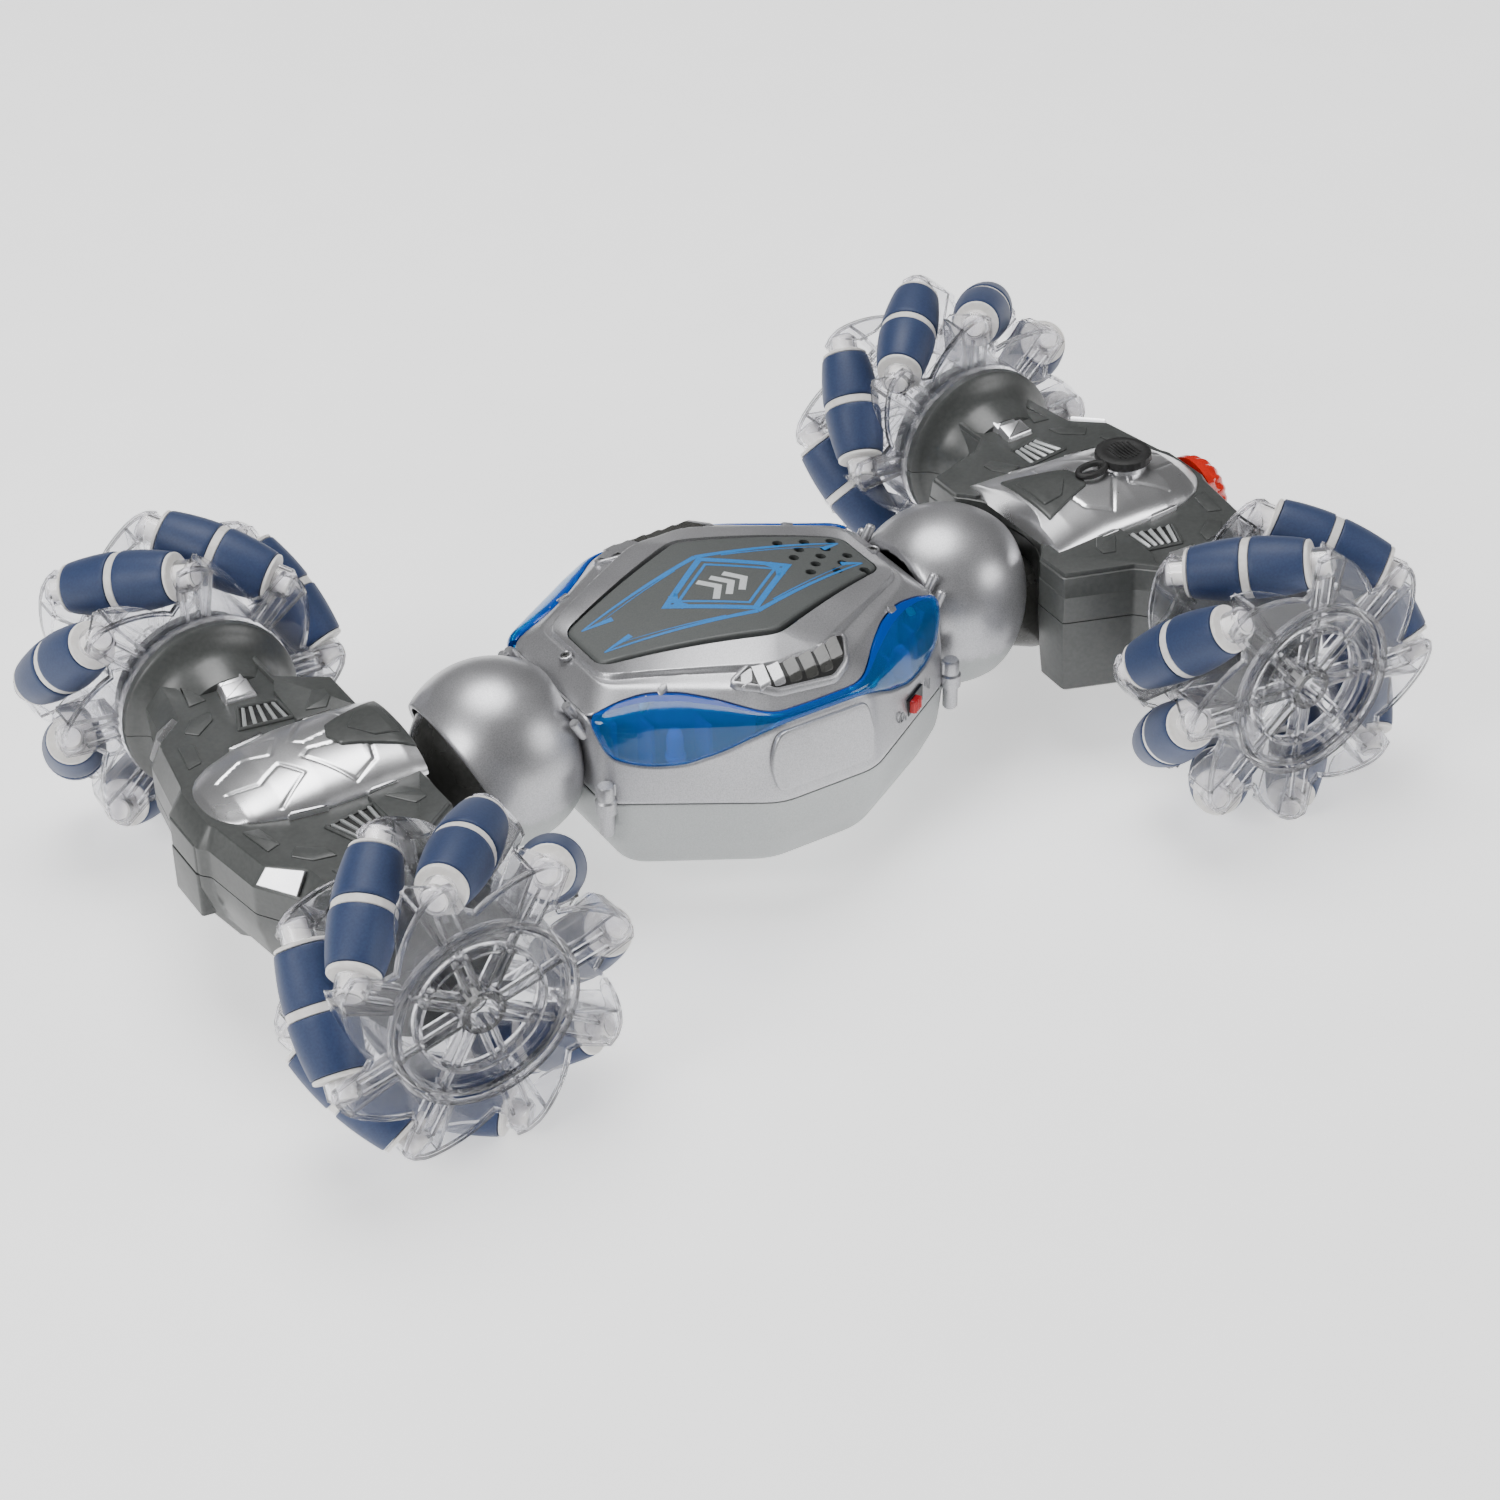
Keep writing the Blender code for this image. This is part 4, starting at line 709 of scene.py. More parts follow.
def make_lens(stack, side, sy):
    """A tinted window: the stack between the window's edges, swollen outwards in the middle."""
    (low, high), opening = window_levels(stack)
    keep = np.where((opening > 0.05) & (np.sign(stack[LEVELS, :, 1]) == sy))[0]
    jump = np.where(np.diff(keep) > 1)[0]
    if len(jump):
        keep = np.roll(keep, -(jump[0] + 1))
    t = np.linspace(0.012, 0.988, 28)[:, None]
    level = low[None, :] + (high - low)[None, :] * t
    sheet = at_level(stack, level)[:, keep]
    normal = outward(sheet, False)
    tall = np.clip((high - low)[keep] / 30, 0.15, 1)[None, :, None]
    swell = (np.sin(math.pi * t) ** 0.6)[:, :, None] * (0.5 + 0.9 * tall) - 0.25
    sheet = sheet + normal * swell
    rows = len(sheet)
    points, faces, _ = walled(sheet, WINDOW_WALL, wrap=False)
    cols = len(keep)
    row = np.repeat(np.arange(2 * rows), cols - 1)
    rim = (row >= rows - 6) & (row < rows + 2)
    closed = [list(range(c, 2 * rows * cols, cols))[::(1 if c else -1)] for c in (0, cols - 1)]
    finish = [int(f) for f in rim] + [1, 1]
    piece("light_window_" + side, (points, faces + closed, finish), [BLUE, DEEP_BLUE], "pod",
          ["light_lens_" + side], 40)
    skins = []
    for sx in (-1, 1):
        wall = [(sx * 14, sy * 40), (sx * 40, sy * 30), (sx * 52, sy * 16), (sx * 52, sy * 14),
                (sx * 39, sy * 28), (sx * 14, sy * 38)]
        skins.append(slab(wall, 46, 68, 0.3, 0.4))
        for x, y in ((30, 33.4), (44, 25), (52, 17.5)):
            near, far = sorted((sy * y, sy * (y + 8)))
            skins.append(block((sx * x - 0.7, near, 47), (sx * x + 0.7, far, 62)))
    piece("light_housing_" + side, joined(*skins), [REFLECTOR], "pod")
    bulb = turned([(0, 60.5), (1.0, 60.3), (1.9, 59.5), (2.4, 58.2), (2.5, 57), (2.5, 52.4),
                   (3.0, 52.2), (3.0, 51.2), (0, 51.2)], 20)
    lamps = [moved(bulb, upright(sx * 38, sy * 35)) for sx in (-1, 1)]
    piece("lamp_bulbs_" + side, joined(*lamps), [LAMP], "pod")


# The holes stand in a staggered pattern that leans with the deck's rear corner.
SPEAKER_HOLES = [(34.4 + 4.0 * i - 0.1 * j, 1.2 - 1.1 * i - 4.75 * j)
                 for i in range(-2, 3) for j in range(-2, 3) if (i + j) % 2 == 0]


def ink(path, width, closed=False, ends=None):
    """A printed line: a path cut fine, with its two edges a width apart and lying on the deck.

    ends gives the width at the start and at the end instead, for a line that tapers.
    """
    p = np.asarray(path, float)
    if closed:
        p = np.concatenate([p, p[:1]])
    count = [max(2, int(np.linalg.norm(b - a) / 1.5)) for a, b in zip(p, p[1:])]
    fine = np.concatenate([a + (b - a) * np.linspace(0, 1, n, endpoint=False)[:, None]
                           for a, b, n in zip(p, p[1:], count)] + [p[-1:]])
    way = np.diff(fine, axis=0)
    way /= np.linalg.norm(way, axis=1)[:, None]
    before = np.concatenate([way[-1:] if closed else way[:1], way])
    after = np.concatenate([way, way[:1] if closed else way[-1:]])
    normal = np.stack([-(before + after)[:, 1], (before + after)[:, 0]], 1)
    normal /= np.maximum((normal * np.stack([-before[:, 1], before[:, 0]], 1)).sum(1), 0.3)[:, None]
    wide = np.linspace(*(ends or (width, width)), len(fine))[:, None]
    rows = []
    for side, lift in ((-0.5, 0.0), (-0.5, INK_THICK), (0.5, INK_THICK), (0.5, 0.0)):
        edge = fine + normal * wide * side
        rows.append(np.column_stack([edge, crown(edge[:, 0]) + lift]))
    return grid(np.array(rows), loop=True)


def make_deck():
    """Arched hexagonal deck: its outline carried inwards over a rounded edge, then its prints."""
    half = np.array([(-DECK_LENGTH, -DECK_END), (0, -DECK_WIDTH), (DECK_LENGTH, -DECK_END)])
    base = finer(rounded(anticlockwise(np.concatenate([half, -half])), 3.0, 5))
    rows = []
    for inwards, drop in ((0.0, -DECK_THICK), (0.0, -0.9), (0.12, -0.5), (0.4, -0.18), (0.8, 0.0)):
        ring = base * (1 - inwards / np.array((DECK_LENGTH, DECK_WIDTH)))
        rows.append(np.column_stack([ring, crown(ring[:, 0]) + drop]))
    for share in np.linspace(0.96, 0, 24):
        ring = base * share
        rows.append(np.column_stack([ring, crown(ring[:, 0])]))
    under = [np.column_stack([base * share, crown(base[:, 0] * share) - DECK_THICK])
             for share in np.linspace(0, 0.97, 10)]
    deck = piece("deck_plate", grid(np.array(rows + under), wrap=True, loop=True), [DECK], "pod",
                 ["deck_panel"], 30)
    side, _, _ = turned([(1.6, 0), (1.6, 30)], 20)
    drill = grid(side.reshape(2, 20, 3), wrap=True, caps=True)
    cut(deck, joined(*[moved(drill, upright(x, y, 60)) for x, y in SPEAKER_HOLES]))
    lines = []
    for sy in (-1, 1):
        for sx in (-1, 1):
            tip = (sx * 44.0, sy * 6.6)
            lines.append(ink([tip, (0.8, sy * 17.6)], 0, ends=(0.5, 1.7)))
            lines.append(ink([(sx * 40.0, sy * 5.6), (sx * 8, sy * 14.6)], 0, ends=(0.1, 0.6)))
            barb = (sx * 34.5, sy * 5.2) if sx < 0 else (sx * 37.5, sy * 5.0)
            lines.append(ink([tip, barb], 0, ends=(0.4, 2.0)))
    middle = 1.2
    lines.append(ink([(-19.6, 0), (middle, 15.8), (22.0, 0), (middle, -15.8)], 1.9, True))
    lines.append(ink([(-15.2, 0), (middle, 12.4), (17.6, 0), (middle, -12.4)], 0.9, True))
    for sx in (-1, 1):
        lines.append(ink([(middle + sx * 17.5, 4.0), (middle + sx * 17.5, -4.0)], 0.4))
        for sy in (1, -1):
            lines.append(ink([(middle + sx * 17.9, 0.0), (middle + sx * 14.0, sy * 5.6)], 0,
                             ends=(2.6, 0.2)))
    piece("deck_print", joined(*lines), [BLUE_INK], "pod")
    marks = [ink([(x - 2.6, -5.4), (x + 1.4, 0), (x - 2.6, 5.4)], 2.1) for x in (-3.2, 1.2, 5.6)]
    piece("deck_mark", joined(*marks), [PALE_INK], "pod")


def cut(target, skin):
    """Takes a skin's solid out of a piece for good."""
    points, faces, _ = skin
    mesh = bpy.data.meshes.new("cutter")
    mesh.from_pydata((points * MM).tolist(), [], faces)
    tool = bpy.data.objects.new("cutter", mesh)
    bpy.context.scene.collection.objects.link(tool)
    bm = bmesh.new()
    bm.from_mesh(mesh)
    bmesh.ops.recalc_face_normals(bm, faces=bm.faces)
    bm.to_mesh(mesh)
    bm.free()
    step = target.modifiers.new("cut", "BOOLEAN")
    step.operation = "DIFFERENCE"
    step.solver = "EXACT"
    step.object = tool
    settled = target.evaluated_get(bpy.context.evaluated_depsgraph_get())
    done = bpy.data.meshes.new_from_object(settled)
    target.modifiers.remove(step)
    old, name = target.data, target.data.name
    target.data = done
    bpy.data.meshes.remove(old)
    done.name = name
    bpy.data.objects.remove(tool)


def screw(radius):
    """A cross-head screw in a countersink: turned head, with the shade of the cross recess painted
    as two black bars.
    """
    head = turned([(0, 0), (radius * 0.8, 0), (radius, -0.35), (radius, -1.6), (0, -1.6)], 24)
    arm = radius * 0.62
    # The cross recess is not cut: two black bars on the head stand in as its painted shade.
    return joined(head, block((-arm, -0.3, -0.5), (arm, 0.3, 0.06), 0.03, 1),
                  block((-0.3, -arm, -0.5), (0.3, arm, 0.06), 0.03, 1))


def make_pod_fittings():
    """Screws of deck and belly, battery door, power switch with its marks."""
    rim = ring_loop([(1.35, -0.8), (2.1, -0.8), (2.0, 0.12), (1.6, 0.2), (1.35, 0)], 24, 2)
    deck_screws = [moved(joined(screw(1.3), rim),
                         axes((x, 0.5, z), (math.copysign(0.2, x), 0, 1), (1, 0, 0)))
                   for x, z in ((-53.0, 71.25), (52.5, 71.3))]
    piece("deck_screws", joined(*deck_screws), [STEEL, BLACK, SILVER], "pod")
    belly = [moved(screw(2.4), axes((x, y, 8.4), (0, 0, -1), (1, 0, 0)))
             for x, y in ((-34, 0), (34, 0), (-22, 32), (22, 32), (-22, -32), (22, -32))]
    piece("belly_screws", joined(*belly), [STEEL, BLACK], "pod")
    door = [slab([(-28.8, -13.8), (28.8, -13.8), (28.8, 13.8), (-28.8, 13.8)], 8.1, 10.0, 0.2, 1.5)]
    door += [block((-24 + 4 * k, -10, 8.0), (-22.4 + 4 * k, 10, 8.6), 0.2) for k in range(10)]
    door.append(slab([(21, -5), (26, -5), (26, 5), (21, 5)], 8.0, 8.8, 0.3, 1.0))
    piece("battery_hatch", joined(*door), [TRAY_SILVER], "pod", ["battery_door"])

    x1, y1, x2, y2 = SEAM
    start, end = np.array((x1, -y1), float), np.array((x2, -y2), float)
    along = (end - start) / np.linalg.norm(end - start)
    middle = start + (end - start) * 0.52
    out = np.array((along[1], -along[0]))
    seat = axes((*middle, 45.0), (*out, 0), (*along, 0))
    seat[:3, 3] += np.array((*out, 0.0)) * -0.75
    knob = [slab([(-2.2, -2.1), (2.2, -2.1), (2.2, 2.1), (-2.2, 2.1)], -4.5, 1.9, 0.35, 0.5)]
    knob += [block((-1.7 + 1.1 * k, -2.0, 1.5), (-1.2 + 1.1 * k, 2.0, 2.3), 0.15) for k in range(4)]
    piece("switch_knob", moved(joined(*knob), seat), [RED], "power_switch", ["power_switch"])
    # The slot is not cut: a black block round the knob stands in as its painted shade.
    slot = grid([[(x, y, z) for x, y in ((-3.2, -2.7), (6.9, -2.7), (6.9, 2.7), (-3.2, 2.7))]
                 for z in (-0.4, 0.42)], wrap=True, caps=True)
    piece("switch_slot_painted_shade", moved(slot, seat), [BLACK], "pod")
    off = ring_loop([(1.3, 0.3), (1.75, 0.3), (1.75, 0.52), (1.3, 0.52)], 24)
    marks = [moved(off, upright(-8.0, 0)), block((11.6, -1.8, 0.3), (12.1, 1.8, 0.52), 0.02),
             block((-5.2, -2.7, 0.3), (-4.9, -1.0, 0.52), 0.02),
             block((8.4, 1.0, 0.3), (8.7, 2.7, 0.52), 0.02)]
    piece("switch_marks", moved(joined(*marks), seat), [DARK_INK], "pod")


# ---- necks ------------------------------------------------------------------
def twist_axes(sx):
    """The neck's frame: Z runs out and down along the axis the module twists on."""
    outwards = (sx * math.cos(NECK_TILT), 0, -math.sin(NECK_TILT))
    return axes((sx * NECK_X, 0, NECK_Z), outwards, (0, 1, 0))


def make_neck(end, sx):
    """Dome and ball of one neck: circular arcs turned about the twist axis."""
    lip = math.asin(DOME_OPENING / DOME_RADIUS)
    polar = np.linspace(lip, -1.45, 44)
    outer = np.column_stack([DOME_RADIUS * np.cos(polar), DOME_RADIUS * np.sin(polar)])
    inner = outer[::-1] * (DOME_RADIUS - 1.7) / DOME_RADIUS
    inner[-1] = (outer[0, 0] - 1.6, outer[0, 1] - 0.1)
    edge = outer[:1] + [(-1.2, 0.25), (-0.4, 0.25)]
    points, faces, _ = moved(ring_loop(np.concatenate([edge, outer, inner]), 96), twist_axes(sx))
    # The pod's end wall cuts the dome off, and the parting seam is a fine groove round it.
    points[:, 0] = sx * np.maximum(sx * points[:, 0], 60.6)
    groove = np.exp(-((points[:, 2] - PARTING) / 0.28) ** 2)
    centre = np.array((sx * NECK_X, 0, NECK_Z))
    points = centre + (points - centre) * (1 - 0.012 * groove[:, None])
    quads = points[np.array(faces)].mean(1)
    finish = [int(z < PARTING) for z in quads[:, 2]]
    piece("neck_dome_" + end, (points, faces, finish), [SILVER, TRAY_SILVER], "pod",
          ["neck_shell_" + end], 50)
    tooth = turned([(0, -3.5), (1.1, -3.5), (1.5, -3.0), (1.5, 3.0), (1.1, 3.5), (0, 3.5)], 16)
    teeth = [moved(tooth, axes((sx * 61.3, y, z), (sx * 0.55, 0, 1), (0, 1, 0)))
             for y, z in ((17.0, 64.6), (21.2, 61.0), (-17.0, 64.6), (-21.2, 61.0))]
    piece("neck_clips_" + end, joined(*teeth), [SILVER], "pod")
    polar = np.linspace(1.02, -0.32, 30)
    ball = np.column_stack([BALL_RADIUS * np.cos(polar), BALL_RADIUS * np.sin(polar)])
    bore = ball[::-1] * 0.92
    pipe = [(12.0, 37.0), (14.9, 37.0), (14.9, 24.5), (14.3, 22.4)]
    profile = np.concatenate([pipe, ball[ball[:, 1] < 20.8], bore[bore[:, 1] < 20.0],
                              [(12.0, 20.0)]])
    shaft = turned([(0, 20.4), (12.4, 20.4), (12.4, 19.4), (3.4, 19.0), (3.4, -32.6), (2.9, -33.0),
                    (0, -33.0)], 32)
    piece("neck_ball_" + end, moved(joined(ring_loop(profile, 72), shaft), twist_axes(sx)),
          [DARK_GREY], end + "_axle")


# ---- axle modules -----------------------------------------------------------
WINGS = {"front": ((109.5, 37.0), (117.0, 42.0)), "rear": ((97.5, 34.8), (118.5, 41.7))}
SWING = 29.6                   # clear round the dome


def neck_side(end):
    """Plan points of a module's inner edge, from the middle outwards, round the dome."""
    inner = WINGS[end][0][0]
    if inner > NECK_X + SWING:
        return [(inner, 0.0)]
    last = math.acos((inner - NECK_X) / SWING)
    return [(NECK_X + SWING * math.cos(a), SWING * math.sin(a)) for a in np.linspace(0, last, 9)]


def module_outlines(end):
    """The module's half outline in plan at its top edge and at its waist."""
    (inner, wide), corner = WINGS[end]
    first = neck_side(end)
    top = first + [(inner, wide), corner, (123.5, 46.5), (123.5, 66.0), (152.6, 66.0),
                   (153.6, 56.0), (155.6, 42.0), (165.0, 34.2), (168.6, 11.0), (170.0, 8.6),
                   (170.0, 0.0)]
    waist = first + [(inner - 0.5, wide + 1.2), (corner[0] - 0.8, corner[1] + 1.6), (121.8, 48.0),
                     (121.8, 66.0), (157.4, 66.0), (158.2, 58.0), (160.2, 46.2), (168.4, 33.6),
                     (171.6, 12.0), (174.0, 9.4), (174.0, 0.0)]
    return np.array(top), np.array(waist)


def full_ring(half, sx, height, push=0.0, nose=0.0):
    """A half outline mirrored across y = 0 and set at a height; nose draws the outer end in."""
    u, y = half[:, 0], half[:, 1]
    u = u - nose * np.clip((u - 140) / 30, 0, 1)
    plan = np.column_stack([u, y])
    whole = np.concatenate([plan, (plan * (1, -1))[1:-1][::-1]])
    whole = inset(anticlockwise(whole), push)
    return np.column_stack([sx * whole[:, 0], whole[:, 1], height + 0 * whole[:, 0]])


def side_skin(rings):
    """Outlines stacked into a body: every ring's corners rounded alike, closed at both ends."""
    return grid([np.column_stack([rounded(r[:, :2], 0.9, 2), np.full(len(r) * 3, r[0, 2])])
                 for r in rings], wrap=True, caps=True)


def drum_axes(sx, sy):
    """The drum's frame: Z out along the wheel's axis, X up."""
    return axes((sx * WHEEL_X, 0, AXLE_Z), (0, sy, 0), (0, 0, 1))


def drum(upper):
    """Dished drum that meets the wheel: a half turn of a closed profile, above or below."""
    profile = np.array([(0, 48), (17.5, 50), (19.0, 54), (20.0, 57.5), (22.0, 60.6), (25.0, 62.6),
                        (26.7, 63.4), (27.3, 64.2), (27.4, 66.4), (26.6, 67.1), (25.2, 67.2),
                        (24.2, 66.9), (23.6, 67.6), (23.6, 78.0), (23.0, 78.6), (7.0, 78.6),
                        (6.4, 77.9), (0, 77.9)])
    angle = np.linspace(0, math.pi, 49)
    side = 1 if upper else -1
    x = profile[:, :1] * np.cos(angle)
    up = np.maximum(profile[:, :1] * np.sin(angle), 0.12) * side
    along = profile[:, 1:] + 0 * angle
    arc = np.stack([up, x * side, along], -1)
    under = np.stack([0 * along + 0.12 * side, 0 * along, along], -1)[:, :1]
    return grid(np.concatenate([arc, under], 1), wrap=True)


def tile(sx, outline, top, rise, bevel=0.3):
    """A raised polygon on a module's top, by distance from the middle and y, on both sides."""
    return joined(*[slab(np.array(outline, float) * (sx, sy), top - 1.5, top + rise, bevel, 0.5,
                         draft=0.25) for sy in (1, -1)])


TOP = 63.4                     # a module's flat top
FILLER_X = 145.0
NOZZLE_X, NOZZLE_Z = 174.4, 50.5
# Height of each hood's crest and its half width, by distance from the car's middle.
CREST = {"front": ((107, 112, 122, 138, 150, 160, 166, 169.4, 171.4, 172.2),
                   (69.6, 71.0, 71.8, 71.4, 69.6, 66.8, 64.6, 62.6, 60.6, 58.8)),
         "rear": ((103, 112, 122, 138, 152, 162, 167, 170, 171.8, 172.4),
                  (69.8, 71.2, 71.9, 71.7, 70.4, 67.6, 64.8, 62.8, 60.4, 58.6))}
WIDTH = {"front": ((107, 112, 128, 139, 150, 158, 164, 168.4, 171, 172.2),
                   (19.6, 19.8, 20.2, 20.2, 18.6, 15.8, 12.8, 9.2, 5.6, 2.2)),
         "rear": ((103, 112, 125, 147, 156, 162, 167.4, 170.6, 172.4),
                  (24.2, 23.4, 22.2, 21.4, 19.0, 15.8, 11.4, 7.4, 2.4))}
# Sunk outlines on a hood's left half, by distance from the car's middle and y.
HOOD_LINES = (
    ((138.2, -4.0), (135.3, -1.6), (118.6, -4.5), (120.8, -13.4), (128.6, -17.4), (138.2, -4.0)),
    ((161.0, -3.2), (152.5, -6.4), (145.0, -2.4), (140.4, -9.6), (150.6, -16.2)),
)


def hood_height(end, u, y):
    """Hood surface: a rounded crown, base plus (crest - base) times (1 - share across ** 2.3)
    ** 0.62, whose crest and half width change along the module."""
    wide = np.interp(u, *WIDTH[end])
    crest = np.interp(u, *CREST[end])
    base = np.interp(u, (160, 168, 176), (TOP + 0.2, 61.6, 56.5))
    across = np.clip(np.abs(y) / wide, 0, 1)
    return base + (crest - base) * (1 - across ** 2.3) ** 0.62


def segment_distance(u, y, path):
    """Least distance from each point to a path of straight lines."""
    best = np.full(np.shape(u), 1e9)
    for a, b in zip(np.array(path[:-1]), np.array(path[1:])):
        run = b - a
        t = np.clip(((u - a[0]) * run[0] + (y - a[1]) * run[1]) / (run @ run), 0, 1)
        best = np.minimum(best, np.hypot(u - a[0] - t * run[0], y - a[1] - t * run[1]))
    return best


def make_hood(end, sx):
    """Plated hood: the crown on a grid along and across, with sunk outlines, closed underneath."""
    start = 108.0 if end == "front" else 104.0
    stop = 172.1 if end == "front" else 172.3
    u = np.linspace(start, stop, 150)[:, None]
    across = np.sin(np.linspace(-1, 1, 121) * math.pi / 2)[None, :]
    wide = np.interp(u, *WIDTH[end])
    y = across * wide
    z = hood_height(end, u, y)
    for sy in (1, -1):
        for path in HOOD_LINES:
            near = segment_distance(u + 0 * y, sy * y, path)
            z = z - GROOVE * np.exp(-(near / GROOVE) ** 2)
    place = u + 0 * y
    if end == "rear":
        # The rear hood reaches round the neck, so its edge follows the dome's swing.
        round_dome = NECK_X + np.sqrt(np.maximum((SWING + 0.2) ** 2 - y ** 2, 0)) * 0.985
        place = np.maximum(place, np.where(np.abs(y) < SWING, round_dome, 0))
    top = np.stack([sx * place, y, z], -1)
    floor = np.interp(u, (160, 168, 176), (TOP - 0.6, 60.0, 55.0))
    sides = [np.stack([sx * place[:, k], y[:, k], floor[:, 0]], -1)[:, None] for k in (-1, 0)]
    hood = [grid(np.concatenate([top, *sides], 1), wrap=True, caps=True)]
    for sy in (1, -1):
        for a, b in ((150.5, 139.0), (127.0, 117.5)):
            wa, wb = (float(np.interp(q, *WIDTH[end])) for q in (a, b))
            hood.append(slab([(sx * a, sy * (wa + 0.9)), (sx * b, sy * (wb + 0.9)),
                              (sx * (b + 1.5), sy * (wb - 0.7)),
                              (sx * (a - 1.5), sy * (wa - 0.7))], TOP - 1, TOP + 1.7, 0.4, 0.5))
    if end == "rear":
        mouth = [(4.9, -4), (7.4, -6), (7.4, 0), (6.9, 0.4), (5.3, 0.4), (4.9, 0)]
        hood.append(moved(ring_loop(mouth, 48), upright(FILLER_X, 0, 72.2)))
    piece("hood_shell_" + end, joined(*hood), [PLATED], end + "_axle", ["hood_" + end],
          50)


TRAY_SCREWS = ((118, 28), (156, 22))


def make_module(end, sx):
    """Upper cover and lower tray of one axle module with everything fixed to them."""
    top, waist = module_outlines(end)
    body = end + "_axle"
    upper = [side_skin([full_ring(waist, sx, 48.45), full_ring(waist, sx, 57.2),
                        full_ring(waist, sx, 57.6, 0.25), full_ring(top, sx, TOP - 0.25, -0.05),
                        full_ring(top, sx, TOP, 0.35)])]
    upper += [moved(drum(True), drum_axes(sx, sy)) for sy in (1, -1)]
    (inner, wide), corner = WINGS[end]
    arc = neck_side(end)
    wing = ([(p[0] + 0.6, p[1]) for p in arc if p[1] > 17] or [(inner + 0.7, 19.0)]) + [
        (inner + 0.7, wide - 0.5), (corner[0] + 0.3, corner[1] - 0.6), (123.8, 46.2), (123.8, 62.5),
        (126.3, 65.2), (127.6, 64.2), (125.4, 59.3), (125.0, 43.4), (127.2, 39.4), (128.0, 22.0),
        (121.0, 20.5)]
    upper.append(tile(sx, wing, TOP, 1.3, 0.4))
    upper += [tile(sx, outline, base, rise) for outline, base, rise in (
        ([(124.1, 24.7), (118.4, 32.6), (114.4, 31.4), (114.8, 27.4), (118.2, 22.9)], TOP + 1.3,
         0.45),
        ([(148.2, 58.9), (144.9, 46.6), (150.7, 46.0)], TOP, 0.45),
        ([(157.2, 34.6), (152.8, 39.6), (146.4, 41.0), (147.4, 36.4), (154.1, 31.3)], TOP, 0.45),
        ([(161.4, 29.4), (157.1, 27.8), (159.0, 18.6), (163.6, 17.5)], TOP, 0.45),
        ([(129.5, 62.0), (142.0, 62.8), (141.0, 65.6), (130.5, 65.6)], TOP, 0.5))]
    # Louvre well: a raised rim round slats that lean across it.
    rim_out = np.array([(144.2, 27.2), (139.6, 38.6), (127.4, 36.0), (126.9, 24.4)])
    for sy in (1, -1):
        ring = rounded(anticlockwise(rim_out * (sx, sy)), 1.2)
        rings = [np.column_stack([inset(ring, d), np.full(len(ring), TOP + h)])
                 for d, h in ((0, -1), (0, 0.5), (0.35, 0.85), (0.9, 0.85), (1.2, 0.5), (1.2, -1))]
        upper.append(grid(rings, wrap=True, loop=True))

    def over(x, y):
        return hood_height(end, np.abs(x), y)

    saddle = [(107.8, -13.2), (107.8, 13.2), (127.0, 5.4), (129.0, 0.0), (127.0, -5.4)]
    field = [(109.8, -7.6), (109.8, 7.6), (117.0, 6.6), (122.6, 0.0), (117.0, -6.6)]
    upper.append(dense_slab(np.array(saddle) * (sx, 1), -1.8, 0.75, over))
    upper.append(dense_slab(np.array(field) * (sx, 1), 0.0, 1.25, over))
    chin = [(168.0, -9.6), (168.0, 9.6), (174.4, 8.6), (174.4, -8.6)]
    upper.append(slab(np.array(chin) * (sx, 1), 48.6, 57.5, 0.6, 1.0))
    piece("module_cover_" + end, joined(*upper), [GREY], body, ["axle_cover_" + end],
          28)

    lower = [side_skin([full_ring(waist, sx, 22.4, 2.6, 9.0), full_ring(waist, sx, 23.4, 1.6, 8.0),
                        full_ring(waist, sx, 33.0, 0.7, 2.6), full_ring(waist, sx, 44.0, 0.05),
                        full_ring(waist, sx, 48.1, 0.0)])]
    lower += [moved(drum(False), drum_axes(sx, sy)) for sy in (1, -1)]
    chin = [(166.6, -9.8), (166.6, 9.8), (174.6, 8.8), (174.6, -8.8)]
    foot = [(128, -26), (128, 26), (146, 26), (146, -26)]
    rim = ring_loop([(2.6, 0), (4.0, 0), (4.0, 1.6), (2.6, 1.6)], 32)
    lower.append(slab(np.array(chin) * (sx, 1), 34, 48.0, 0.3, 1.0))
    lower += [moved(rim, axes((sx * u, sy * y, 22.5), (0, 0, -1), (1, 0, 0)))
              for sy in (1, -1) for u, y in TRAY_SCREWS]
    lower.append(slab(np.array(foot) * (sx, 1), 21.4, 22.6, 0.3, 3.0))
    piece("module_tray_" + end, joined(*lower), [GREY], body, ["axle_tray_" + end], 28)
    screws = [moved(screw(2.2), axes((sx * u, sy * y, 21.7), (0, 0, -1), (1, 0, 0)))
              for u, y in TRAY_SCREWS for sy in (1, -1)]
    piece("module_screws_" + end, joined(*screws), [STEEL, BLACK], body)

    bright = []
    for sy in (1, -1):
        high = [(sx * 156.2, sy * 42.2, TOP - 0.4), (sx * 164.4, sy * 34.9, TOP - 0.4)]
        deep = [(sx * 167.4, sy * 34.2, 57.9), (sx * 160.4, sy * 45.0, 57.9)]
        quad = np.array(high + deep)
        normal = np.cross(quad[1] - quad[0], quad[3] - quad[0])
        normal *= np.sign(normal[2]) / np.linalg.norm(normal)
        centre = quad.mean(0)
        bright.append(grid([quad - normal * 0.6, quad + normal * 1.2,
                            centre + (quad - centre) * 0.95 + normal * 1.5], wrap=True, caps=True))
        # Three shingles, each rising towards the drum and stepping down to the next.
        for k in range(3):
            near, far = 41.2 + 6.2 * k, 47.6 + 6.2 * k
            out = 140.8 - 0.9 * k
            outline = np.array([(131.6, near), (out, near + 0.6), (out - 0.7, far), (131.7, far)])

            def rise(x, y, near=near):
                return 0.26 * (np.abs(y) - near)

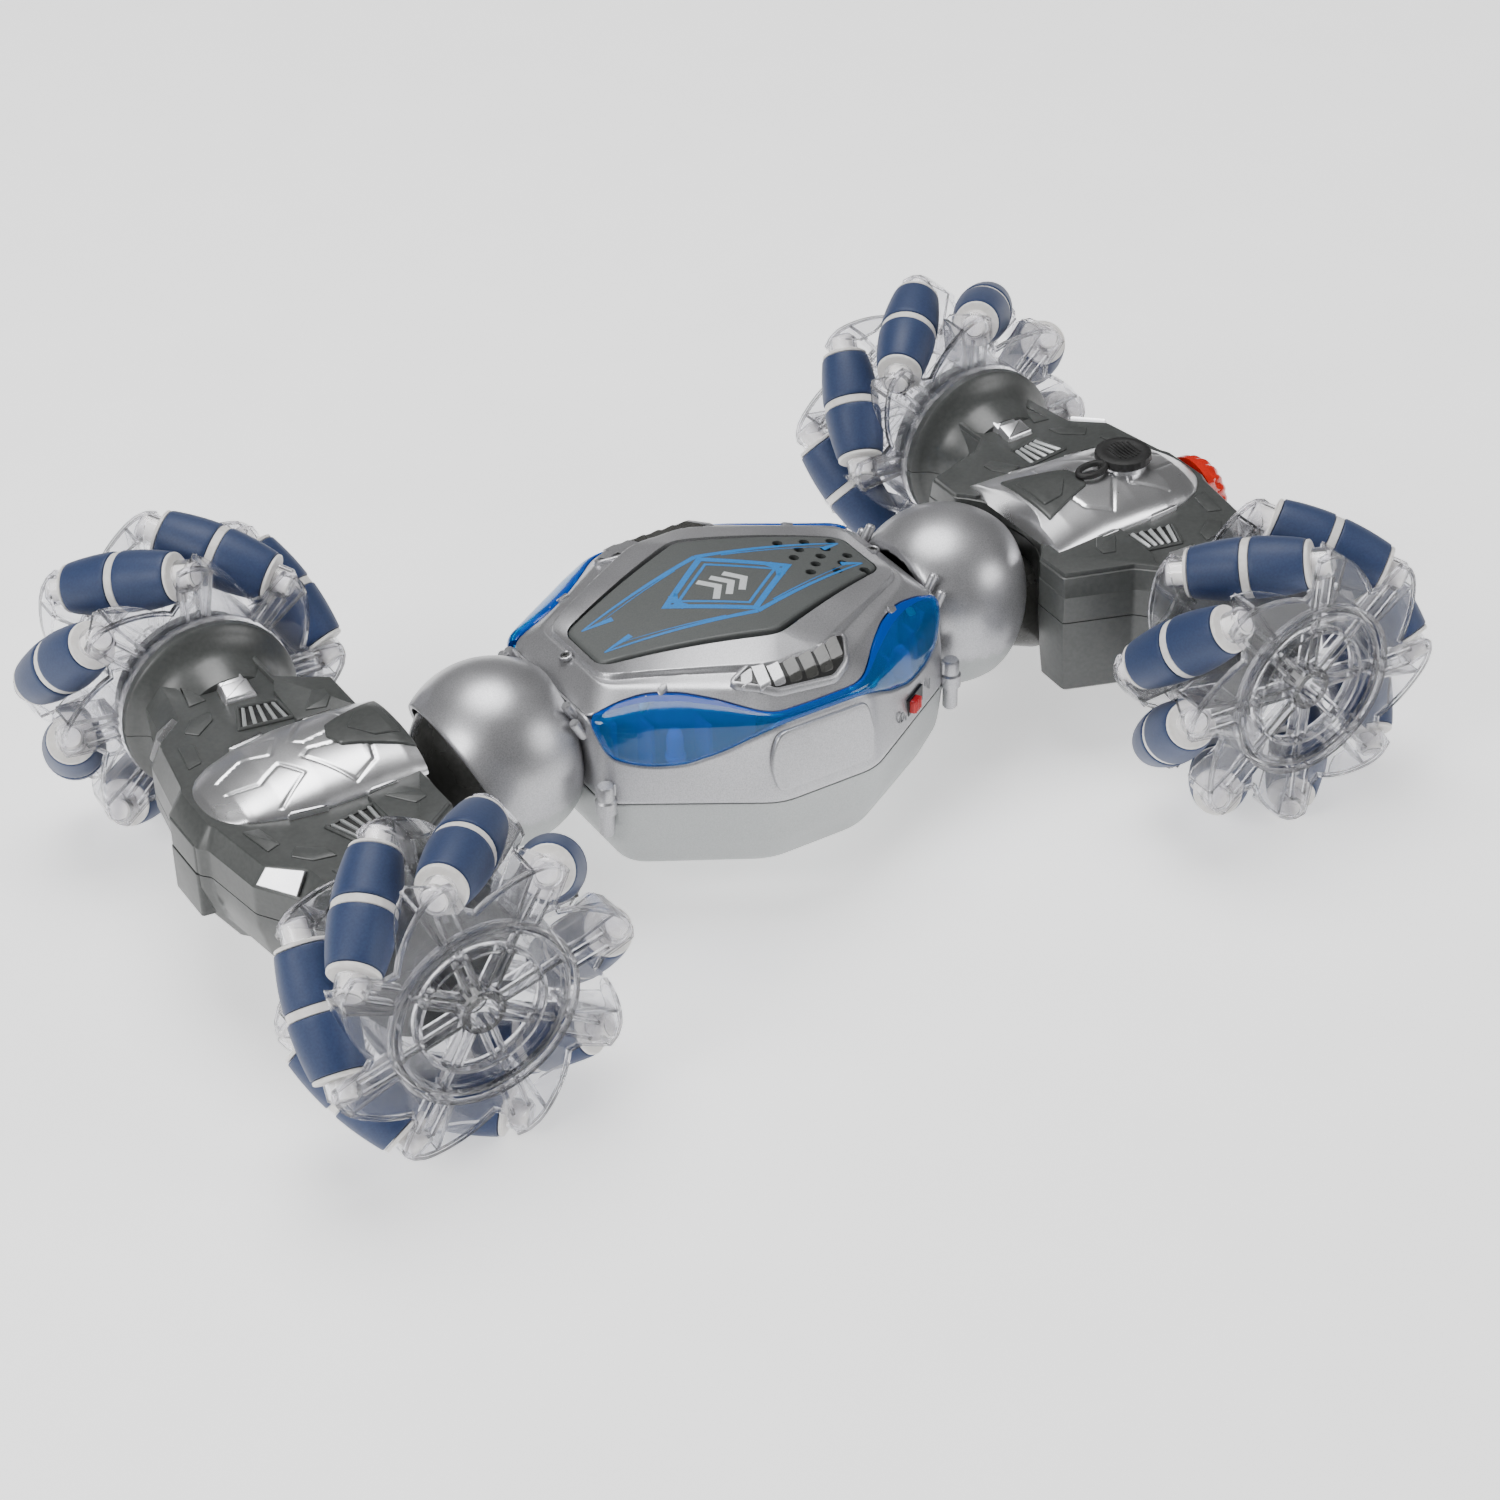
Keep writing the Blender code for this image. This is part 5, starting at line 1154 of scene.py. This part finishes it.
            bright.append(slab(outline * (sx, sy), TOP - 0.8, TOP + 1.3, 0.7, 0.5, rise, draft=0.6))
    piece("module_trim_" + end, joined(*bright), [PLATED], body)
    slats = []
    for sy in (1, -1):
        well = np.array([(143, 28), (139.2, 37.6), (128.2, 35.2), (127.8, 25.2)]) * (sx, sy)
        # The well's floor is a black plate: painted shade in the recess under the louvres.
        slats.append(slab(well, TOP - 1, TOP + 0.12, 0.05, 1.0, finish=1))
        for k in range(5):
            share = (k + 0.5) / 5
            low = np.array((143.0, 28.0)) * (1 - share) + np.array((127.9, 25.4)) * share
            high = np.array((139.0, 37.0)) * (1 - share) + np.array((128.5, 34.6)) * share
            half = np.array((0.62, 0.08))
            outline = np.array([low - half, low + half, high + half * 0.85, high - half * 0.85])

            def lean(x, y, low=low, high=high):
                middle = np.interp(np.abs(y), (low[1], high[1]), (low[0], high[0]))
                return 0.35 * (np.abs(x) - middle)

            slats.append(slab(outline * (sx, sy), TOP - 0.6, TOP + 0.7, 0.2, 0.2, lean))
    piece("module_louvres_" + end, joined(*slats), [TRAY_SILVER, BLACK], body)


def dense_slab(outline, low, high, height, finish=0):
    """A slab over a curved surface: its outline shrinks to its middle in steps on the surface."""
    base = finer(rounded(anticlockwise(outline), 0.6, 3))
    middle = base.mean(0)
    rows = [np.column_stack([base, low + height(base[:, 0], base[:, 1])])]
    edge = [(1.0, 0.35), (0.985, 0.12), (0.96, 0.0)]
    for share, drop in edge + [(share, 0.0) for share in np.linspace(0.9, 0, 16)]:
        ring = middle + (base - middle) * share
        rows.append(np.column_stack([ring, high - drop + height(ring[:, 0], ring[:, 1])]))
    ring = middle + (base - middle) * 0.001
    rows.append(np.column_stack([ring, low + height(ring[:, 0], ring[:, 1])]))
    return grid(rows, wrap=True, loop=True, finish=finish)


def make_rear_fittings():
    """Filler cap with its ribbed lid and looped strap, and the ribbed mist nozzle."""
    lid = ring_loop([(0.001, 75.8), (5.6, 75.8), (6.1, 76.0), (7.9, 76.0), (8.6, 75.6), (8.8, 74.8),
                     (8.8, 73.6), (8.4, 73.0), (0.001, 73.0)], 96,
                    ripple=lambda a, z: 1 + 0.012 * np.cos(24 * a) * (z < 75.9) * (z > 73.2))
    plug = turned([(0, 73.2), (4.4, 73.2), (4.4, 71.4), (4.6, 71.0), (4.3, 70.4), (0, 70.4)], 32)
    ribs = []
    for x in -5.0 + 1.25 * np.arange(1, 8):
        half = math.sqrt(26 - x ** 2)
        ribs.append(block((x, -half, 75.6), (x + 0.5, half, 76.15), 0.12))
    angle = np.linspace(0, TURN, 48, endpoint=False)
    loop = np.stack([-13.2 + 4.6 * np.cos(angle), -1.6 + 2.9 * np.sin(angle),
                     73.9 + 0.5 * np.cos(angle)], -1)
    strap = tube(loop, 1.05)
    tongue = slab([(-9.6, -2.2), (-7.6, -2.4), (-7.6, 2.0), (-9.6, 1.2)], 73.0, 74.8, 0.4, 0.6)
    piece("cap_lid", moved(joined(lid, plug, *ribs, strap, tongue), upright(FILLER_X, 0)),
          [BLACK_RUBBER], "filler_cap", ["filler_cap"])

    reach = np.linspace(0, 1, 16) * math.pi / 2
    outer = np.column_stack([12.3 * np.cos(reach * 0.97) ** 0.75, 7.6 * np.sin(reach)])
    inner = outer[::-1] * (0.86, 0.84)
    dome = ring_loop(np.concatenate([outer, inner]), 144,
                     ripple=lambda a, z: 1 + 0.035 * np.cos(18 * a) * np.clip(z / 2, 0, 1) * (z < 7))
    seat = ring_loop([(10.0, -2.2), (12.9, -2.2), (12.9, 0.2), (12.3, 0.6), (10.0, 0.6)], 72)
    place = axes((NOZZLE_X, 0, NOZZLE_Z), (1, 0, 0), (0, 0, 1))
    piece("mist_dome", moved(joined(dome, seat), place), [RED_CLEAR], "rear_axle",
          ["mist_nozzle"])


def tube(path, radius, sides=10):
    """A round section carried along a closed path."""
    way = np.roll(path, -1, 0) - np.roll(path, 1, 0)
    way /= np.linalg.norm(way, axis=1)[:, None]
    side = np.cross(way, (0.1, 0.05, 1.0))
    side /= np.linalg.norm(side, axis=1)[:, None]
    up = np.cross(side, way)
    angle = np.arange(sides) / sides * TURN
    round_it = np.stack([np.cos(angle), np.sin(angle)])[:, None, :, None]
    rows = path[:, None] + radius * (round_it[0] * side[:, None] + round_it[1] * up[:, None])
    return grid(rows, wrap=True, loop=True)


# ---- kept frame nodes, stage, lights and camera -----------------------------
def dress_inside():
    """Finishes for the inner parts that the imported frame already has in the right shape."""
    inside = {"battery_pack": PACK, "circuit_board": BOARD, "speaker": BLACK,
              "twist_motor": MOTOR, "drive_gearbox": MOTOR}
    for name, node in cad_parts.items():
        for start, finish in inside.items():
            if name.startswith(start):
                for slot in node.material_slots:
                    slot.material = finish


# Soft lamps: name, place in metres, width in metres and power in watts.
LAMPS = (("key", (-1.2, -0.2, 0.9), 0.7, 14.0), ("side", (1.1, -1.1, 0.8), 0.8, 9.0),
         ("top", (0.05, 0.4, 1.7), 1.2, 30.0))
CAMERA_SPOT, CAMERA_AIM = (-0.4361, -0.7345, 0.6128), (0.0423, 0.0570, -0.0312)
CAMERA_ROLL, FOCAL_LENGTH = -1.18, 82.95


def make_stage():
    """A pale seamless floor under soft lamps, and a camera at three-quarter height."""
    mesh = bpy.data.meshes.new("studio_floor")
    mesh.from_pydata([(-30, -30, 0), (30, -30, 0), (30, 30, 0), (-30, 30, 0)], [], [(0, 1, 2, 3)])
    floor = bpy.data.objects.new("studio_floor", mesh)
    mesh.materials.append(finish_of("white acrylic light table", {
        "Emission Color": rgb("#FFFFFF"), "Emission Strength": 0.92},
        ("#EEEEEE", "#F2F2F2"), 40, 0.5, (0.8, 0.9)))
    bpy.context.scene.collection.objects.link(floor)
    world = bpy.data.worlds.new("studio")
    world.use_nodes = True
    tree = world.node_tree
    # The studio is bright at the level of its walls and dimmer towards the ceiling.
    place = add(tree, "ShaderNodeTexCoord")
    parts = add(tree, "ShaderNodeSeparateXYZ", {0: place.outputs["Generated"]})
    height = add(tree, "ShaderNodeMapRange", {"Value": parts.outputs["Z"]},
                 {"From Min": 0.1, "From Max": 0.7, "To Min": 1.1, "To Max": 0.4})
    tree.links.new(height.outputs["Result"], tree.nodes["Background"].inputs["Strength"])
    bpy.context.scene.world = world
    for name, spot, size, watts in LAMPS:
        lamp = bpy.data.lights.new(name, "AREA")
        lamp.shape = "DISK"
        lamp.size = size
        lamp.energy = watts
        made = bpy.data.objects.new(name, lamp)
        made.matrix_world = look_at(spot, (0, 0, 0.04))
        bpy.context.scene.collection.objects.link(made)
    lens = bpy.data.cameras.new("camera")
    lens.lens, lens.sensor_width = FOCAL_LENGTH, 36.0
    lens.clip_start, lens.clip_end = 0.05, 100
    camera = bpy.data.objects.new("camera", lens)
    camera.matrix_world = look_at(CAMERA_SPOT, CAMERA_AIM, CAMERA_ROLL)
    bpy.context.scene.collection.objects.link(camera)
    bpy.context.scene.camera = camera


def look_at(spot, target, roll=0.0):
    """The matrix of a camera or lamp at spot that looks at target, rolled by degrees."""
    way = Vector(target) - Vector(spot)
    turn = way.to_track_quat("-Z", "Y").to_matrix().to_4x4()
    return Matrix.Translation(spot) @ turn @ Matrix.Rotation(math.radians(roll), 4, "Z")


def build():
    """Every piece in turn, then the kept nodes' finishes and the studio."""
    make_wheels()
    stack = make_cover()
    make_vents()
    for side, sy in SIDES:
        make_lens(stack, side, sy)
    make_deck()
    make_pod_fittings()
    for end, sx in ENDS:
        make_neck(end, sx)
        make_module(end, sx)
        make_hood(end, sx)
    make_rear_fittings()
    dress_inside()
    make_stage()


build()
